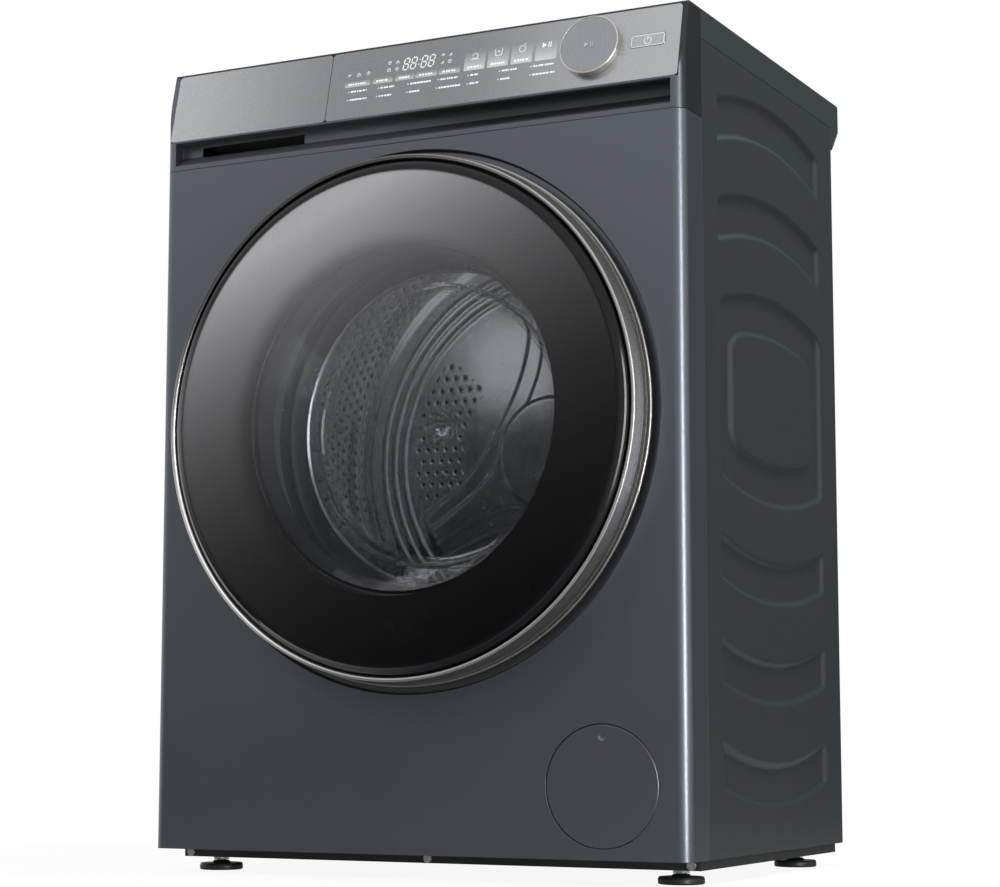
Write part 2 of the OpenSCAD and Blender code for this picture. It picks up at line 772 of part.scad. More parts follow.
module control_fascia() {
  back_y = side_y - seam_gap;
  placed() color("#50565a") difference() {
    intersection() {
      translate([0, 0, fascia_z]) linear_extrude(fascia_h - glass_top_gap - seat_gap) stepped_plan(0, back_y);
      side_profile(cabinet_w) polygon([[0, fascia_z], [0, glass_low_z], [glass_lean, glass_top_z],
        [back_y, glass_top_z], [back_y, fascia_z]]);
    }
    // Hollow behind the groove and behind the leaning front wall
    intersection() {
      translate([0, 0, fascia_z + wall_t]) linear_extrude(fascia_h) stepped_plan(wall_t, back_y);
      box([-half_w, 0, 0], [half_w, back_y + cut, glass_top_z - wall_t]);
      union() {
        box([-half_w, groove_d + wall_t, groove_shelf_z - 2 * wall_t], [half_w, back_y + cut, cabinet_h]);
        on_glass() box([-half_w, glass_t + glass_bed + wall_t, wall_t + 1], [half_w, cabinet_d, glass_len]);
      }
    }
    // Hollow under the groove's shelf
    side_profile(cabinet_w - 2 * groove_end_gap) polygon([[wall_t + 2, fascia_z - cut], [wall_t + 2, groove_low_z - wall_t],
      [groove_d, groove_shelf_z - 2 * wall_t], [back_y + cut, groove_shelf_z - 2 * wall_t], [back_y + cut, fascia_z - cut]]);
    // Grip groove under the glass
    side_profile(2 * groove_half_w) polygon([[-cut, groove_low_z - cut], [0, groove_low_z],
      [groove_d - 1, groove_shelf_z], [groove_d, glass_low_z - 3.5], [-cut, glass_low_z - 1.8]]);
    // Bed of the glass and of the drawer's front
    side_profile(2 * (glass_half_w + glass_bed)) polygon([lean_point(-glass_bed, -2), lean_point(-glass_bed, glass_t + glass_bed),
      lean_point(glass_len + glass_bed, glass_t + glass_bed), lean_point(glass_len + glass_bed, -2)]);
    // Opening of the drawer
    box([drawer_hole[0], 0, drawer_low_z], [drawer_hole[1], back_y + cut, drawer_high_z]);
    // Finger slot that opens behind the drawer's front
    box([finger_slot_x - finger_slot_w / 2, groove_d - 2, groove_shelf_z - 3],
      [finger_slot_x + finger_slot_w / 2, groove_d + wall_t + cut, glass_low_z - 6]);
    // Display window, knob and button holes
    on_glass() {
      box([key_window[0], 0, 8], [key_window[1], 40, glass_len - 8]);
      bar_y(knob_x, control_line, 0, 40, knob_shaft_r + 3);
      box([button_x - button_w / 2 - 2, 0, control_line - button_h / 2 - 2],
        [button_x + button_w / 2 + 2, 40, control_line + button_h / 2 + 2]);
    }
  }
}

module control_glass() {
  placed() color("#8b8f92") difference() {
    glass_plate(split_x + split_gap / 2, glass_half_w, 0, glass_t);
    on_glass() {
      bar_y(knob_x, control_line, -cut, glass_t + cut, knob_shaft_r + 2);
      front_profile(-cut, glass_t + cut) translate([button_x, control_line])
        round_rect(button_w + 2 * running_gap, button_h + 2 * running_gap, 3 + running_gap);
    }
  }
}

// Circuit board with its display, the knob's encoder and the button's switch
module control_board() {
  board_y = glass_t + glass_bed + wall_t + 6;
  placed() color("#2d5a3a") on_glass() difference() {
    union() {
      box([key_window[0] + 4, board_y, 12], [half_w - 24, board_y + 1.6, glass_len - 14]);
      // Light box of the display and the touch keys
      box([key_window[0] + 2, glass_t + 0.3, 26], [key_window[1] - 2, board_y, glass_len - 12]);
      bar_y(knob_x, control_line, board_y - 6, board_y, 7);
      box([button_x - 4, board_y - 4, control_line - 4], [button_x + 4, board_y, control_line + 4]);
    }
    bar_y(knob_x, control_line, board_y - 7, board_y + 3, knob_shaft_r + shaft_gap);
  }
}

module programme_knob() {
  r = knob_dia / 2 - 1.2;
  skirt = 2;
  placed() color("#8f9396") on_glass() difference() {
    union() {
      revolve(knob_x, control_line) polygon(concat(
        [[0, -running_gap - 3], [0, -knob_proud + 0.6], [r - 4, -knob_proud + 0.3]],
        [[r, -knob_proud + 0.3], [r, -running_gap], [r - skirt, -running_gap], [r - skirt, -knob_proud + 3],
         [8, -knob_proud + 3], [8, -running_gap - 3]]));
      bar_y(knob_x, control_line, -knob_proud + 2, glass_t + glass_bed + wall_t + 7, knob_shaft_r);
    }
  }
}

module knob_ring() {
  outer = knob_dia / 2;
  inner = outer - 1.2 + seat_gap;
  placed() color("#c9c4ba") on_glass() revolve(knob_x, control_line) polygon(concat(
    [[inner, -running_gap], [inner, -knob_proud + 0.4]],
    arc([outer - 0.9, -knob_proud + 0.9], 0.9, -110, 0, 4), [[outer, -running_gap]]));
}

module power_button() {
  placed() color("#8b8f92") on_glass() difference() {
    union() {
      front_profile(-0.4, glass_t + 1) translate([button_x, control_line]) round_rect(button_w, button_h, 3);
      box([button_x - 2.5, glass_t, control_line - 2.5],
        [button_x + 2.5, glass_t + glass_bed + wall_t + 2 - button_travel - running_gap, control_line + 2.5]);
    }
    // A shallow dish for the finger
    translate([button_x, -34.2, control_line]) cylinder(h = button_h + 2, r = 34, center = true);
  }
}

// ---- Detergent drawer ----

module drawer_housing() {
  x0 = tray_x0 - running_gap - tray_wall;
  x1 = tray_x1 + running_gap + tray_wall;
  z0 = tray_z0 - running_gap - tray_wall;
  z1 = drawer_high_z - 1;
  placed() color("#d9dadb") difference() {
    box([x0, side_y, z0], [x1, housing_d, z1]);
    box([x0 + tray_wall, side_y - cut, z0 + tray_wall], [x1 - tray_wall, housing_d - tray_wall, z1 - 4]);
    // Channels that spray water into the bays
    for (i = [0 : 3]) box([x0 + 20 + i * 36, side_y + 30, z1 - 5], [x0 + 36 + i * 36, housing_d - 60, z1 - 2]);
  }
  // Spout that leads down to the tub
  placed() color("#d9dadb") difference() {
    translate([spout_x, housing_d - 30, z0 - 22]) cylinder(h = 23, r = 14);
    translate([spout_x, housing_d - 30, z0 - 22 - cut]) cylinder(h = 30, r = 11.5);
  }
}

module drawer_tray() {
  mid = tray_x0 + (tray_x1 - tray_x0) * bay_split;
  placed() color("#cfd1d3") difference() {
    box([tray_x0, tray_y0, tray_z0], [tray_x1, tray_y0 + tray_d, tray_z1]);
    box([tray_x0 + tray_wall, tray_y0 + tray_wall, tray_z0 + tray_wall],
      [mid - tray_wall / 2, tray_y0 + tray_d - tray_wall, tray_z1 + cut]);
    box([mid + tray_wall / 2, tray_y0 + tray_wall, tray_z0 + tray_wall],
      [tray_x1 - tray_wall, tray_y0 + tray_d * 0.4, tray_z1 + cut]);
    box([mid + tray_wall / 2, tray_y0 + tray_d * 0.4 + tray_wall, tray_z0 + tray_wall],
      [tray_x1 - tray_wall, tray_y0 + tray_d - tray_wall, tray_z1 + cut]);
  }
}

// Cap over the softener's siphon, hooked over the tray's walls
module siphon_cap() {
  mid = tray_x0 + (tray_x1 - tray_x0) * bay_split;
  x0 = mid + tray_wall / 2 + seat_gap;
  x1 = tray_x1 - tray_wall - seat_gap;
  y0 = tray_y0 + tray_wall + seat_gap;
  placed() color("#5f8fc4") {
    box([x0, y0, tray_z1 - 14], [x1, y0 + tray_d * 0.3, tray_z1 - 12]);
    for (x = [x0, x1 - 2]) box([x, y0, tray_z1 - 14], [x + 2, y0 + tray_d * 0.3, tray_z1 - 2]);
    translate([(x0 + x1) / 2, y0 + tray_d * 0.15, tray_z0 + tray_wall + 3]) difference() {
      cylinder(h = tray_z1 - 13 - tray_z0 - tray_wall - 3, r = 9);
      translate([0, 0, -cut]) cylinder(h = 12, r = 7);
    }
  }
}

module drawer_front() {
  placed() color("#9a9da0") {
    glass_plate(-glass_half_w, split_x - split_gap / 2, 0, glass_t);
    // Back plate that carries the tray
    intersection() {
      on_glass() box([tray_x0 - 2, glass_t - 0.01, 6], [tray_x1 + 2, 40, glass_len - 6]);
      box([-half_w, 0, drawer_low_z + running_gap], [half_w, tray_y0 - seat_gap, drawer_high_z - running_gap]);
    }
  }
}

// ---- Door ----

module door_glass() {
  shoulder = glass_r - glass_edge_r;
  inner_r = glass_edge_r - door_glass_t;
  placed() color("#2b2e31") revolve(0, door_z) polygon(concat(
    [[0, glass_front_y + door_glass_t], [0, glass_front_y]],
    arc([shoulder, glass_front_y + glass_edge_r], glass_edge_r, -90, 0, 8),
    [[glass_r, glass_back_y], [glass_r - door_glass_t, glass_back_y]],
    arc([shoulder, glass_front_y + glass_edge_r], inner_r, 0, -90)));
}

// Metal trim: a broad ring round the glass and a thin one behind it
module door_trim_ring() {
  r = glass_r + seat_gap + 0.6;
  color("#b9b2a4") difference() {
    placed() {
      revolve(0, door_z) polygon(concat(
        [[r, -10], [r, glass_back_y - 5]], arc([r + 3, glass_back_y - 5], 3, 180, 300, 6),
        [[door_frame_r - 0.6, glass_back_y + 3], [door_frame_r, glass_back_y + 8], [door_frame_r, -10]]));
      revolve(0, door_z) polygon([
        [door_frame_r - 3, -6.4], [door_frame_r + 2, -6.4], [door_frame_r + 2.6, -5],
        [door_frame_r + 2.6, -3.6], [door_frame_r - 3, -3.6]]);
    }
    hinge_pocket();
  }
}

// Pocket in the door's back and side that clears the hinge
module hinge_pocket() {
  placed() translate([0, 0, door_z])
    box([-door_frame_r - 10, pocket_y, -pocket_half_h], [-hinge_x + 34, 10, pocket_half_h]);
}

module door_outer_ring() {
  color("#17191a") difference() {
    placed() revolve(0, door_z) polygon([
      [window_r, frame_front_y], [glass_r - glass_edge_r - 0.5, frame_front_y],
      [glass_r - door_glass_t - 0.6, glass_front_y + glass_edge_r - 0.6], [glass_r - door_glass_t - 0.3, glass_back_y + 0.3],
      [glass_r + 0.4, glass_back_y + 0.3], [glass_r + 0.4, -9.7], [door_frame_r - 1, -9.7],
      [door_frame_r - 1, -6.7], [door_frame_r - 3.3, -6.7], [door_frame_r - 3.3, -3.3],
      [door_frame_r - 1, -3.3], [door_frame_r - 1, door_back_y], [door_frame_r - 8, door_back_y],
      [door_frame_r - 8, bowl_rim_y - 0.3], [window_r, bowl_rim_y - 0.3]]);
    hinge_pocket();
  }
}

module door_bowl() {
  flange_r = window_r + 8;
  shoulder_y = 56;
  placed() color("#9fa6a8") revolve(0, door_z) polygon(concat(
    [[0, bowl_d], [bowl_end_r - 30, bowl_d - 2]],
    arc([bowl_end_r - 16, bowl_d - 18], 16, 80, 10, 5),
    [[bowl_end_r + 2, shoulder_y], [window_r - 9, 2], [window_r - 3, bowl_rim_y + bowl_flange_t]],
    [[flange_r, bowl_rim_y + bowl_flange_t], [flange_r, bowl_rim_y], [window_r - 6, bowl_rim_y],
     [window_r - 9 - bowl_t, 2], [bowl_end_r + 2 - bowl_t, shoulder_y]],
    arc([bowl_end_r - 16, bowl_d - 18], 16 - bowl_t, 10, 80, 5),
    [[bowl_end_r - 30, bowl_d - 2 - bowl_t], [0, bowl_d - bowl_t]]));
}

// Rear cover of the door, which clamps the bowl's flange against the front ring
module door_inner_frame() {
  in_r = window_r - 1;
  out_r = door_frame_r - 8.3;
  color("#3b3f42") difference() {
    placed() revolve(0, door_z) polygon([
      [in_r, bowl_rim_y + bowl_flange_t + 0.3], [window_r + 8.3, bowl_rim_y + bowl_flange_t + 0.3],
      [window_r + 8.3, bowl_rim_y], [out_r, bowl_rim_y], [out_r, door_back_y - 2],
      [out_r - 6, door_back_y], [in_r + 12, door_back_y], [in_r, -6]]);
    hinge_pocket();
    placed() translate([lock_x, 0, door_z]) box([-6.2, -12, -9.2], [6.2, 10, 9.2]);
  }
}

// Plate and ears on the front panel, with the pin that the door turns on
module hinge_base() {
  plate_y1 = door_recess_d - seat_gap;
  ear_h = 12;
  placed() color("#a5a8aa") {
    difference() {
      union() {
        translate([0, 0, door_z])
          box([-hinge_x - 5, plate_y1 - 3, -hinge_half_h - 14], [-hinge_x + 30, plate_y1, hinge_half_h + 14]);
        for (side = [-1, 1]) translate([-hinge_x, 0, door_z + side * (hinge_half_h - ear_h / 2) - ear_h / 2]) {
          translate([0, -hinge_proud, 0]) cylinder(h = ear_h, r = knuckle_r);
          linear_extrude(ear_h) polygon([[-knuckle_r + 2, -hinge_proud], [4, plate_y1 - 1],
            [28, plate_y1 - 1], [knuckle_r * 0.9, -hinge_proud - 3]]);
        }
      }
      translate([-hinge_x, -hinge_proud, door_z - hinge_half_h - cut])
        cylinder(h = 2 * hinge_half_h + 2 * cut, r = pin_r + seat_gap / 2);
    }
    translate([-hinge_x, -hinge_proud, door_z - hinge_half_h]) cylinder(h = 2 * hinge_half_h, r = pin_r);
  }
}

// Leaf on the door: a knuckle on the pin and a plate screwed inside the frame
module hinge_leaf() {
  knuckle_half = hinge_half_h - 12 - running_gap;
  x1 = -hinge_x + 34 - 0.3;
  y0 = pocket_y + 0.3;
  placed() color("#8f9294") difference() {
    union() {
      translate([-hinge_x, -hinge_proud, door_z - knuckle_half])
        cylinder(h = 2 * knuckle_half, r = knuckle_r - 0.5);
      translate([0, 0, door_z - knuckle_half]) linear_extrude(2 * knuckle_half) polygon([
        [-hinge_x - 5, -hinge_proud - 4], [-hinge_x + 4, y0], [x1, y0], [x1, -4], [x1 - 4, -4],
        [x1 - 4, y0 + 4], [-hinge_x + 9, y0 + 4], [-hinge_x + 5, -hinge_proud + 4]]);
    }
    translate([-hinge_x, -hinge_proud, door_z - hinge_half_h])
      cylinder(h = 2 * hinge_half_h, r = pin_r + shaft_gap);
  }
}

module door_hook() {
  placed() color("#b4b6b8") translate([lock_x, 0, door_z]) difference() {
    union() {
      box([-6, -11.9, -9], [6, -8.5, 9]);
      box([-2, -8.6, -7], [2, 21, 7]);
      box([-2, 15, -7], [4.5, 21, 7]);
    }
  }
}

// Lock behind the front panel, with the slot that takes the hook
module door_lock() {
  y0 = door_recess_d + sheet_t + seat_gap;
  placed() color("#d6d7d8") translate([lock_x, 0, door_z]) difference() {
    union() {
      box([-13, y0, -38], [15, y0 + 32, 38]);
      box([-13, y0, -50], [15, y0 + 3, 50]);
    }
    box([-lock_slot_w / 2, y0 - cut, -lock_slot_h / 2], [lock_slot_w / 2 + 4, y0 + 20, lock_slot_h / 2]);
  }
}

// Rubber bellows between the porthole and the tub
module door_gasket() {
  lip_y = door_recess_d - 0.1;
  in_r = porthole_r - 8;
  tube_r = porthole_r - 0.3;
  tub_r = tub_mouth_r + 3;
  placed() color("#4a4d4f") revolve(0, door_z) polygon([
    [in_r, lip_y - 3], [porthole_r + 10, lip_y - 3], [porthole_r + 10, lip_y], [tube_r, lip_y],
    [tube_r, collar_y + 2], [porthole_r + 10, collar_y + 6], [porthole_r + 12, collar_y + 14],
    [porthole_r + 2, collar_y + 22], [tub_r + 4, tub_front_y - 14], [tub_r + 4, tub_front_y - 0.3],
    [tub_r + 0.3, tub_front_y - 0.3], [tub_r + 0.3, tub_front_y - 12], [tub_r - 3, tub_front_y - 13],
    [tub_r - 3, tub_front_y - 16], [porthole_r - 2, collar_y + 19], [porthole_r + 7, collar_y + 13],
    [porthole_r + 6, collar_y + 8], [in_r, collar_y + 4], [window_r - 11, lip_y + 8], [window_r - 12, lip_y + 5]]);
}

module gasket_clamp() {
  placed() color("#c4c6c8") translate([0, 0, door_z]) rotate([-90, 0, 0]) rotate_extrude()
    translate([porthole_r + 5, door_recess_d - 3.1 - 1.3]) circle(r = 1.2, $fn = 24);
}

// ---- Tub ----

// The tub's outside, with the sump pocket under it
module tub_outside() {
  revolve(0, door_z) polygon([[tub_mouth_r, tub_front_y], [tub_out_r - 14, tub_front_y],
    [tub_out_r, tub_front_y + 14], [tub_out_r, tub_wall_y - 8 + tub_t], [tub_out_r - 10, tub_wall_y + tub_t],
    [tub_mouth_r, tub_wall_y + tub_t]]);
  box([-sump_half_w, sump_y0, sump_z], [sump_half_w, sump_y1, door_z - tub_in_r + 20]);
}

module tub_inside() {
  revolve(0, door_z) polygon([[0, tub_front_y + tub_t], [tub_in_r - 14, tub_front_y + tub_t],
    [tub_in_r, tub_front_y + 14 + tub_t], [tub_in_r, tub_wall_y - 10], [tub_in_r - 10, tub_wall_y], [0, tub_wall_y]]);
  box([-sump_half_w + tub_t, sump_y0 + tub_t, sump_z + tub_t], [sump_half_w - tub_t, sump_y1 - tub_t, door_z - tub_in_r + 40]);
}

module tub_screw_places() {
  round_drum(12, 15) translate([tub_flange_r - 5, 0, 0]) children();
}

module tub_front() {
  placed() color("#8e9194") {
    difference() {
      union() {
        intersection() {
          tub_outside();
          box([-cabinet_w, tub_front_y - cut, 0], [cabinet_w, tub_split_y, cabinet_h]);
        }
        revolve(0, door_z) polygon([[tub_in_r, tub_split_y - 6], [tub_flange_r, tub_split_y - 6],
          [tub_flange_r, tub_split_y], [tub_in_r, tub_split_y]]);
        // Spigot of the drain at the tub's lower side
        translate([drain_x, drain_y, drain_low_z]) cylinder(h = 40, r = drain_r);
        // Collar that the gasket grips
        revolve(0, door_z) polygon([[tub_mouth_r, tub_front_y - 11], [tub_mouth_r + 3, tub_front_y - 11],
          [tub_mouth_r + 3, tub_front_y + cut], [tub_mouth_r, tub_front_y + cut]]);
        // Ribs on the front wall
        round_drum(18, 10) box([tub_mouth_r + 19.5, tub_front_y - 5.5, -1.5], [tub_out_r - 20, tub_front_y + cut, 1.5]);
        for (r = [tub_mouth_r + 18, tub_out_r - 24]) revolve(0, door_z) translate([r, tub_front_y - 6]) square([3, 7]);
      }
      tub_inside();
      bar_y(0, door_z, tub_front_y - 20, tub_front_y + 10, tub_mouth_r);
      tub_screw_places() bar_y(0, 0, tub_split_y - 10, tub_split_y + cut, 2.6);
      translate([drain_x, drain_y, drain_low_z - cut]) cylinder(h = 80, r = drain_r - tub_t + 0.5);
      heater_rods(seat_gap);
    }
  }
}

module tub_rear() {
  placed() color("#8e9194") {
    difference() {
      union() {
        intersection() {
          tub_outside();
          box([-cabinet_w, tub_split_y + seat_gap, 0], [cabinet_w, cabinet_d, cabinet_h]);
        }
        revolve(0, door_z) polygon([[tub_in_r, tub_split_y + seat_gap], [tub_flange_r, tub_split_y + seat_gap],
          [tub_flange_r, tub_split_y + 6], [tub_in_r, tub_split_y + 6]]);
        bar_y(0, door_z, tub_wall_y, tub_wall_y + tub_t, tub_mouth_r + cut);
        bar_y(0, door_z, hub_front_y, hub_rear_y, hub_r);
        // Ribs from the hub to the rim and the ring ribs that tie them
        round_drum(tub_ribs) box([hub_r - 2, tub_wall_y, -1.5], [rib_step_r, tub_wall_y + 11, 1.5]);
        round_drum(tub_ribs) box([rib_step_r - 2, tub_wall_y, -1.5], [tub_in_r - 12, tub_wall_y + 16, 1.5]);
        revolve(0, door_z) translate([rib_step_r, tub_wall_y]) square([3, 16]);
        revolve(0, door_z) translate([tub_in_r - 46, tub_wall_y]) square([3, 16]);
        // Ears that the springs pull and the dampers hold
        for (side = [-1, 1]) {
          translate([side * spring_x, spring_y, spring_low_z - 3]) difference() {
            box([side > 0 ? -70 : -14, -14, 0], [side > 0 ? 14 : 70, 14, 6]);
            translate([0, 0, -cut]) cylinder(h = 10, r = spring_hole_r);
          }
          translate([side * damper_top_x, damper_y, damper_top_z])
            for (dy = clevis_ys) box([-10, dy, -10], [10, dy + clevis_t, 30]);
        }
      }
      tub_inside_rear();
      bar_y(0, door_z, hub_front_y - cut, front_bearing_y + bearing_w, front_bearing_r + shaft_gap);
      bar_y(0, door_z, rear_bearing_y, hub_rear_y + cut, rear_bearing_r + shaft_gap);
      bar_y(0, door_z, hub_front_y - cut, hub_rear_y, shaft_r + 3);
      tub_screw_places() bar_y(0, 0, tub_split_y - cut, tub_split_y + 8, 2.6);
      for (side = [-1, 1]) bar_y(side * damper_top_x, damper_top_z, damper_y - 20, damper_y + 20, damper_pin_r + shaft_gap);
    }
  }
}

module tub_inside_rear() {
  difference() {
    tub_inside();
    bar_y(0, door_z, hub_front_y, cabinet_d, hub_r);
  }
}

module tub_screws() {
  placed() color("#b8bbbd") tub_screw_places() {
    bar_y(0, 0, tub_split_y - 10.1, tub_split_y - 6.1, 5);
    bar_y(0, 0, tub_split_y - 6.1, tub_split_y + 7, 2.5);
  }
}

// Two ball bearings: an outer ring, an inner ring and balls between them
module bearing(y0, bore_r, out_r) {
  mid_r = (bore_r + out_r) / 2;
  race = (out_r - bore_r) * 0.29;
  balls = floor(180 / asin(race * 0.85 / mid_r)) - 1;
  revolve(0, door_z) difference() {
    translate([out_r - race, y0]) square([race, bearing_w]);
    translate([mid_r, y0 + bearing_w / 2]) circle(r = race * 0.8, $fn = 24);
  }
  revolve(0, door_z) difference() {
    translate([bore_r, y0]) square([race, bearing_w]);
    translate([mid_r, y0 + bearing_w / 2]) circle(r = race * 0.8, $fn = 24);
  }
  round_drum(balls) translate([mid_r, y0 + bearing_w / 2, 0]) sphere(r = race * 0.77, $fn = 24);
}

module bearings() {
  placed() color("#d0d2d4") {
    bearing(front_bearing_y, shaft_r + shaft_gap, front_bearing_r);
    bearing(rear_bearing_y, rear_shaft_r + shaft_gap, rear_bearing_r);
  }
}

// ---- Drum ----

module drum_shell() {
  placed() color("#c3c6c8") {
    revolve(0, door_z) polygon(concat(
      [[drum_mouth_r + 4, drum_front_y + 7], [drum_mouth_r, drum_front_y + 6], [drum_mouth_r, drum_front_y + 2],
       [drum_mouth_r + 2, drum_front_y], [drum_mouth_r + 22, drum_front_y], [drum_mouth_r + 30, drum_front_y + 3]],
      [[drum_r - 16, drum_front_y + 3]], arc([drum_r - 12, drum_front_y + 15], 12, -75, 0, 6),
      [[drum_r, drum_rear_y], [drum_r - drum_t, drum_rear_y]],
      arc([drum_r - 12, drum_front_y + 15], 12 - drum_t, 0, -75, 6),
      [[drum_r - 16, drum_front_y + 3 + drum_t], [drum_mouth_r + 30, drum_front_y + 3 + drum_t],
       [drum_mouth_r + 22, drum_front_y + drum_t], [drum_mouth_r + 2.5, drum_front_y + drum_t],
       [drum_mouth_r + drum_t, drum_front_y + 2.5], [drum_mouth_r + drum_t, drum_front_y + 5.5],
       [drum_mouth_r + 4, drum_front_y + 6]]));
  }
}

module drum_back() {
  back_r = drum_r - drum_t - seat_gap;
  y = drum_rear_y - 4;
  placed() color("#b9bcbe") {
    revolve(0, door_z) polygon([
      [0, y - 12], [60, y - 12], [74, y - 6], [96, y - 6], [110, y - 2], [back_r - 26, y - 2], [back_r - 18, y - 6],
      [back_r, y - 6], [back_r, y - 6 + 1.5], [back_r - 17.5, y - 4.5], [back_r - 25.5, y - 0.5], [109.5, y - 0.5],
      [95.5, y - 4.5], [73.5, y - 4.5], [59.5, y - 10.5], [0, y - 10.5]]);
  }
}

// A hollow plastic ridge on the drum's wall
module drum_lifters() {
  y0 = drum_front_y + 22;
  y1 = drum_rear_y - 16;
  wall_r = drum_r - drum_t - seat_gap;
  top_r = wall_r - lifter_h;
  placed() color("#a9acae") round_drum(lifters, -90) intersection() {
    revolve(0, 0) polygon([[wall_r, y0], [wall_r, y1], [wall_r - 6, y1 + 2], [top_r + 8, y1 - 18], [top_r, y1 - 34],
      [top_r, y0 + 40], [top_r + 8, y0 + 22], [wall_r - 6, y0 - 2]]);
    translate([0, y0 - 10, 0]) rotate([-90, 0, 0]) linear_extrude(y1 - y0 + 20) polygon(concat(
      [[wall_r + 10, -38], [wall_r - 8, -30]], arc([top_r + 13, 0], 13, 230, 130, 6), [[wall_r - 8, 30], [wall_r + 10, 38]]));
  }
}

// Cast spider: a hub with three arms that bolt to the drum's back
module drum_spider() {
  y0 = drum_rear_y - 4;
  arm_r = drum_r - 22;
  placed() color("#a7aaac") difference() {
    union() {
      revolve(0, door_z) polygon([[shaft_r + seat_gap / 2, y0 - 10.4], [58, y0 - 10.4], [52, y0 + 6], [34, y0 + 16],
        [shaft_r + seat_gap / 2, y0 + 16]]);
      round_drum(3, -90) translate([0, y0 - 0.4, 0]) rotate([-90, 0, 0]) linear_extrude(5)
        polygon([[20, -30], [arm_r, -13], [arm_r, 13], [20, 30]]);
      round_drum(3, -90) for (s = [-1, 1]) translate([20, y0, s * 10]) rotate([0, s * 2, 0])
        box([0, 0, -2], [arm_r - 24, 12, 2]);
      round_drum(3, -90) bar_y(arm_r - 10, 0, y0 - 0.4, y0 + 10, 11);
    }
    bar_y(0, door_z, y0 - 20, y0 + 30, shaft_r + seat_gap / 2);
    round_drum(3, -90) bar_y(arm_r - 10, 0, y0 - 2, y0 + 12, 4);
  }
}

module drum_shaft() {
  y0 = drum_rear_y - 14.4;
  placed() color("#8d9092") revolve(0, door_z) polygon([
    [0, y0], [shaft_r, y0], [shaft_r, front_bearing_y + bearing_w + 2], [rear_shaft_r, front_bearing_y + bearing_w + 2],
    [rear_shaft_r, hub_rear_y + 1], [10, hub_rear_y + 1], [10, rotor_y1 + 9], [9, rotor_y1 + 10], [0, rotor_y1 + 10]]);
}

// ---- Motor ----

module motor_stator() {
  ring_r = stator_r - 38;
  placed() color("#9c5a2c") difference() {
    union() {
      revolve(0, door_z) translate([ring_r - 14, stator_y0 + 4]) square([16, 14]);
      round_drum(stator_teeth) {
        box([ring_r, stator_y0 + 5, -1.6], [stator_r - 5, stator_y1 - 6, 1.6]);
        box([ring_r + 4, stator_y0 + 2, -3.4], [stator_r - 7, stator_y1 - 3, 3.4]);
        box([stator_r - 6, stator_y0 + 3, -4.6], [stator_r - 0.3, stator_y1 - 4, 4.6]);
      }
      // Feet that bolt the stator to the hub's ribs
      round_drum(6) box([hub_r + 3, tub_wall_y + 11 + seat_gap, -7], [ring_r - 6, stator_y0 + 9, 7]);
    }
    round_drum(6) bar_y(hub_r + 12, 0, tub_wall_y, stator_y1, 3.2);
  }
}

module motor_rotor() {
  placed() color("#6f7376") difference() {
    union() {
      revolve(0, door_z) polygon([[10 + seat_gap / 2, rotor_y1 - 4], [30, rotor_y1 - 4], [44, rotor_y1 - 6], [rotor_r - 8, rotor_y1 - 6],
        [rotor_r - rotor_wall, rotor_y1 - 11], [rotor_r - rotor_wall, rotor_y0], [rotor_r, rotor_y0],
        [rotor_r, rotor_y1 - 9], [rotor_r - 6, rotor_y1 - 3], [44, rotor_y1 - 3], [30, rotor_y1], [10 + seat_gap / 2, rotor_y1]]);
      revolve(0, door_z) polygon([[rotor_r - rotor_wall - magnet_t, rotor_y0 + 2], [rotor_r - rotor_wall + 0.5, rotor_y0 + 2],
        [rotor_r - rotor_wall + 0.5, stator_y1 - 2], [rotor_r - rotor_wall - magnet_t, stator_y1 - 2]]);
      // Nut that clamps the rotor on the shaft
      difference() {
        translate([0, rotor_y1 - 0.5, door_z]) rotate([-90, 0, 0]) cylinder(h = 8, r = 17, $fn = 6);
        bar_y(0, door_z, rotor_y1 - 1, rotor_y1 + 9, 10 + seat_gap / 2);
      }
    }
    // Cooling slots
    round_drum(12, 15) box([56, rotor_y1 - 8, -5], [rotor_r - 24, rotor_y1, 5]);
  }
}

// ---- Weights and suspension ----

// Two concrete arcs on the front of the tub, above and below the gasket
module counterweight_front() {
  placed() color("#8a8780") for (start = [40, 220]) translate([0, 0, door_z]) rotate([-90, 0, 0])
    rotate([0, 0, -start - 100]) rotate_extrude(angle = 100) polygon([
      [weight_in_r, weight_y0 + 3], [weight_in_r + 3, weight_y0], [weight_out_r - 3, weight_y0],
      [weight_out_r, weight_y0 + 3], [weight_out_r, weight_y1], [weight_in_r, weight_y1]]);
}

// Concrete block that sits on the top of the tub
module counterweight_top() {
  placed() color("#8a8780") difference() {
    box([-128, tub_split_y + 12, door_z + 225], [128, tub_wall_y - 24, door_z + tub_out_r + 28]);
    bar_y(0, door_z, 0, cabinet_d, tub_out_r + seat_gap);
    for (x = [-90, 90]) translate([x, (tub_split_y + tub_wall_y) / 2, door_z]) cylinder(h = 330, r = 6);
  }
}

// Points of a helix that climbs along Z
function helix_point(i, steps, r, pitch) = [r * cos(i * 360 / steps), r * sin(i * 360 / steps), pitch * i / steps];

// A coil of wire as a sweep of short rings along the helix
module coil(r, wire, pitch, turns, steps = 12, sides = 6) {
  count = turns * steps;
  points = [for (i = [0 : count], k = [0 : sides - 1])
    helix_point(i, steps, r + wire * cos(k * 360 / sides), pitch) + [0, 0, wire * sin(k * 360 / sides)]];
  walls = [for (i = [0 : count - 1], k = [0 : sides - 1])
    [i * sides + k, i * sides + (k + 1) % sides, (i + 1) * sides + (k + 1) % sides, (i + 1) * sides + k]];
  ends = [[for (k = [sides - 1 : -1 : 0]) k], [for (k = [0 : sides - 1]) count * sides + k]];
  polyhedron(points, concat(walls, ends), convexity = 10);
}

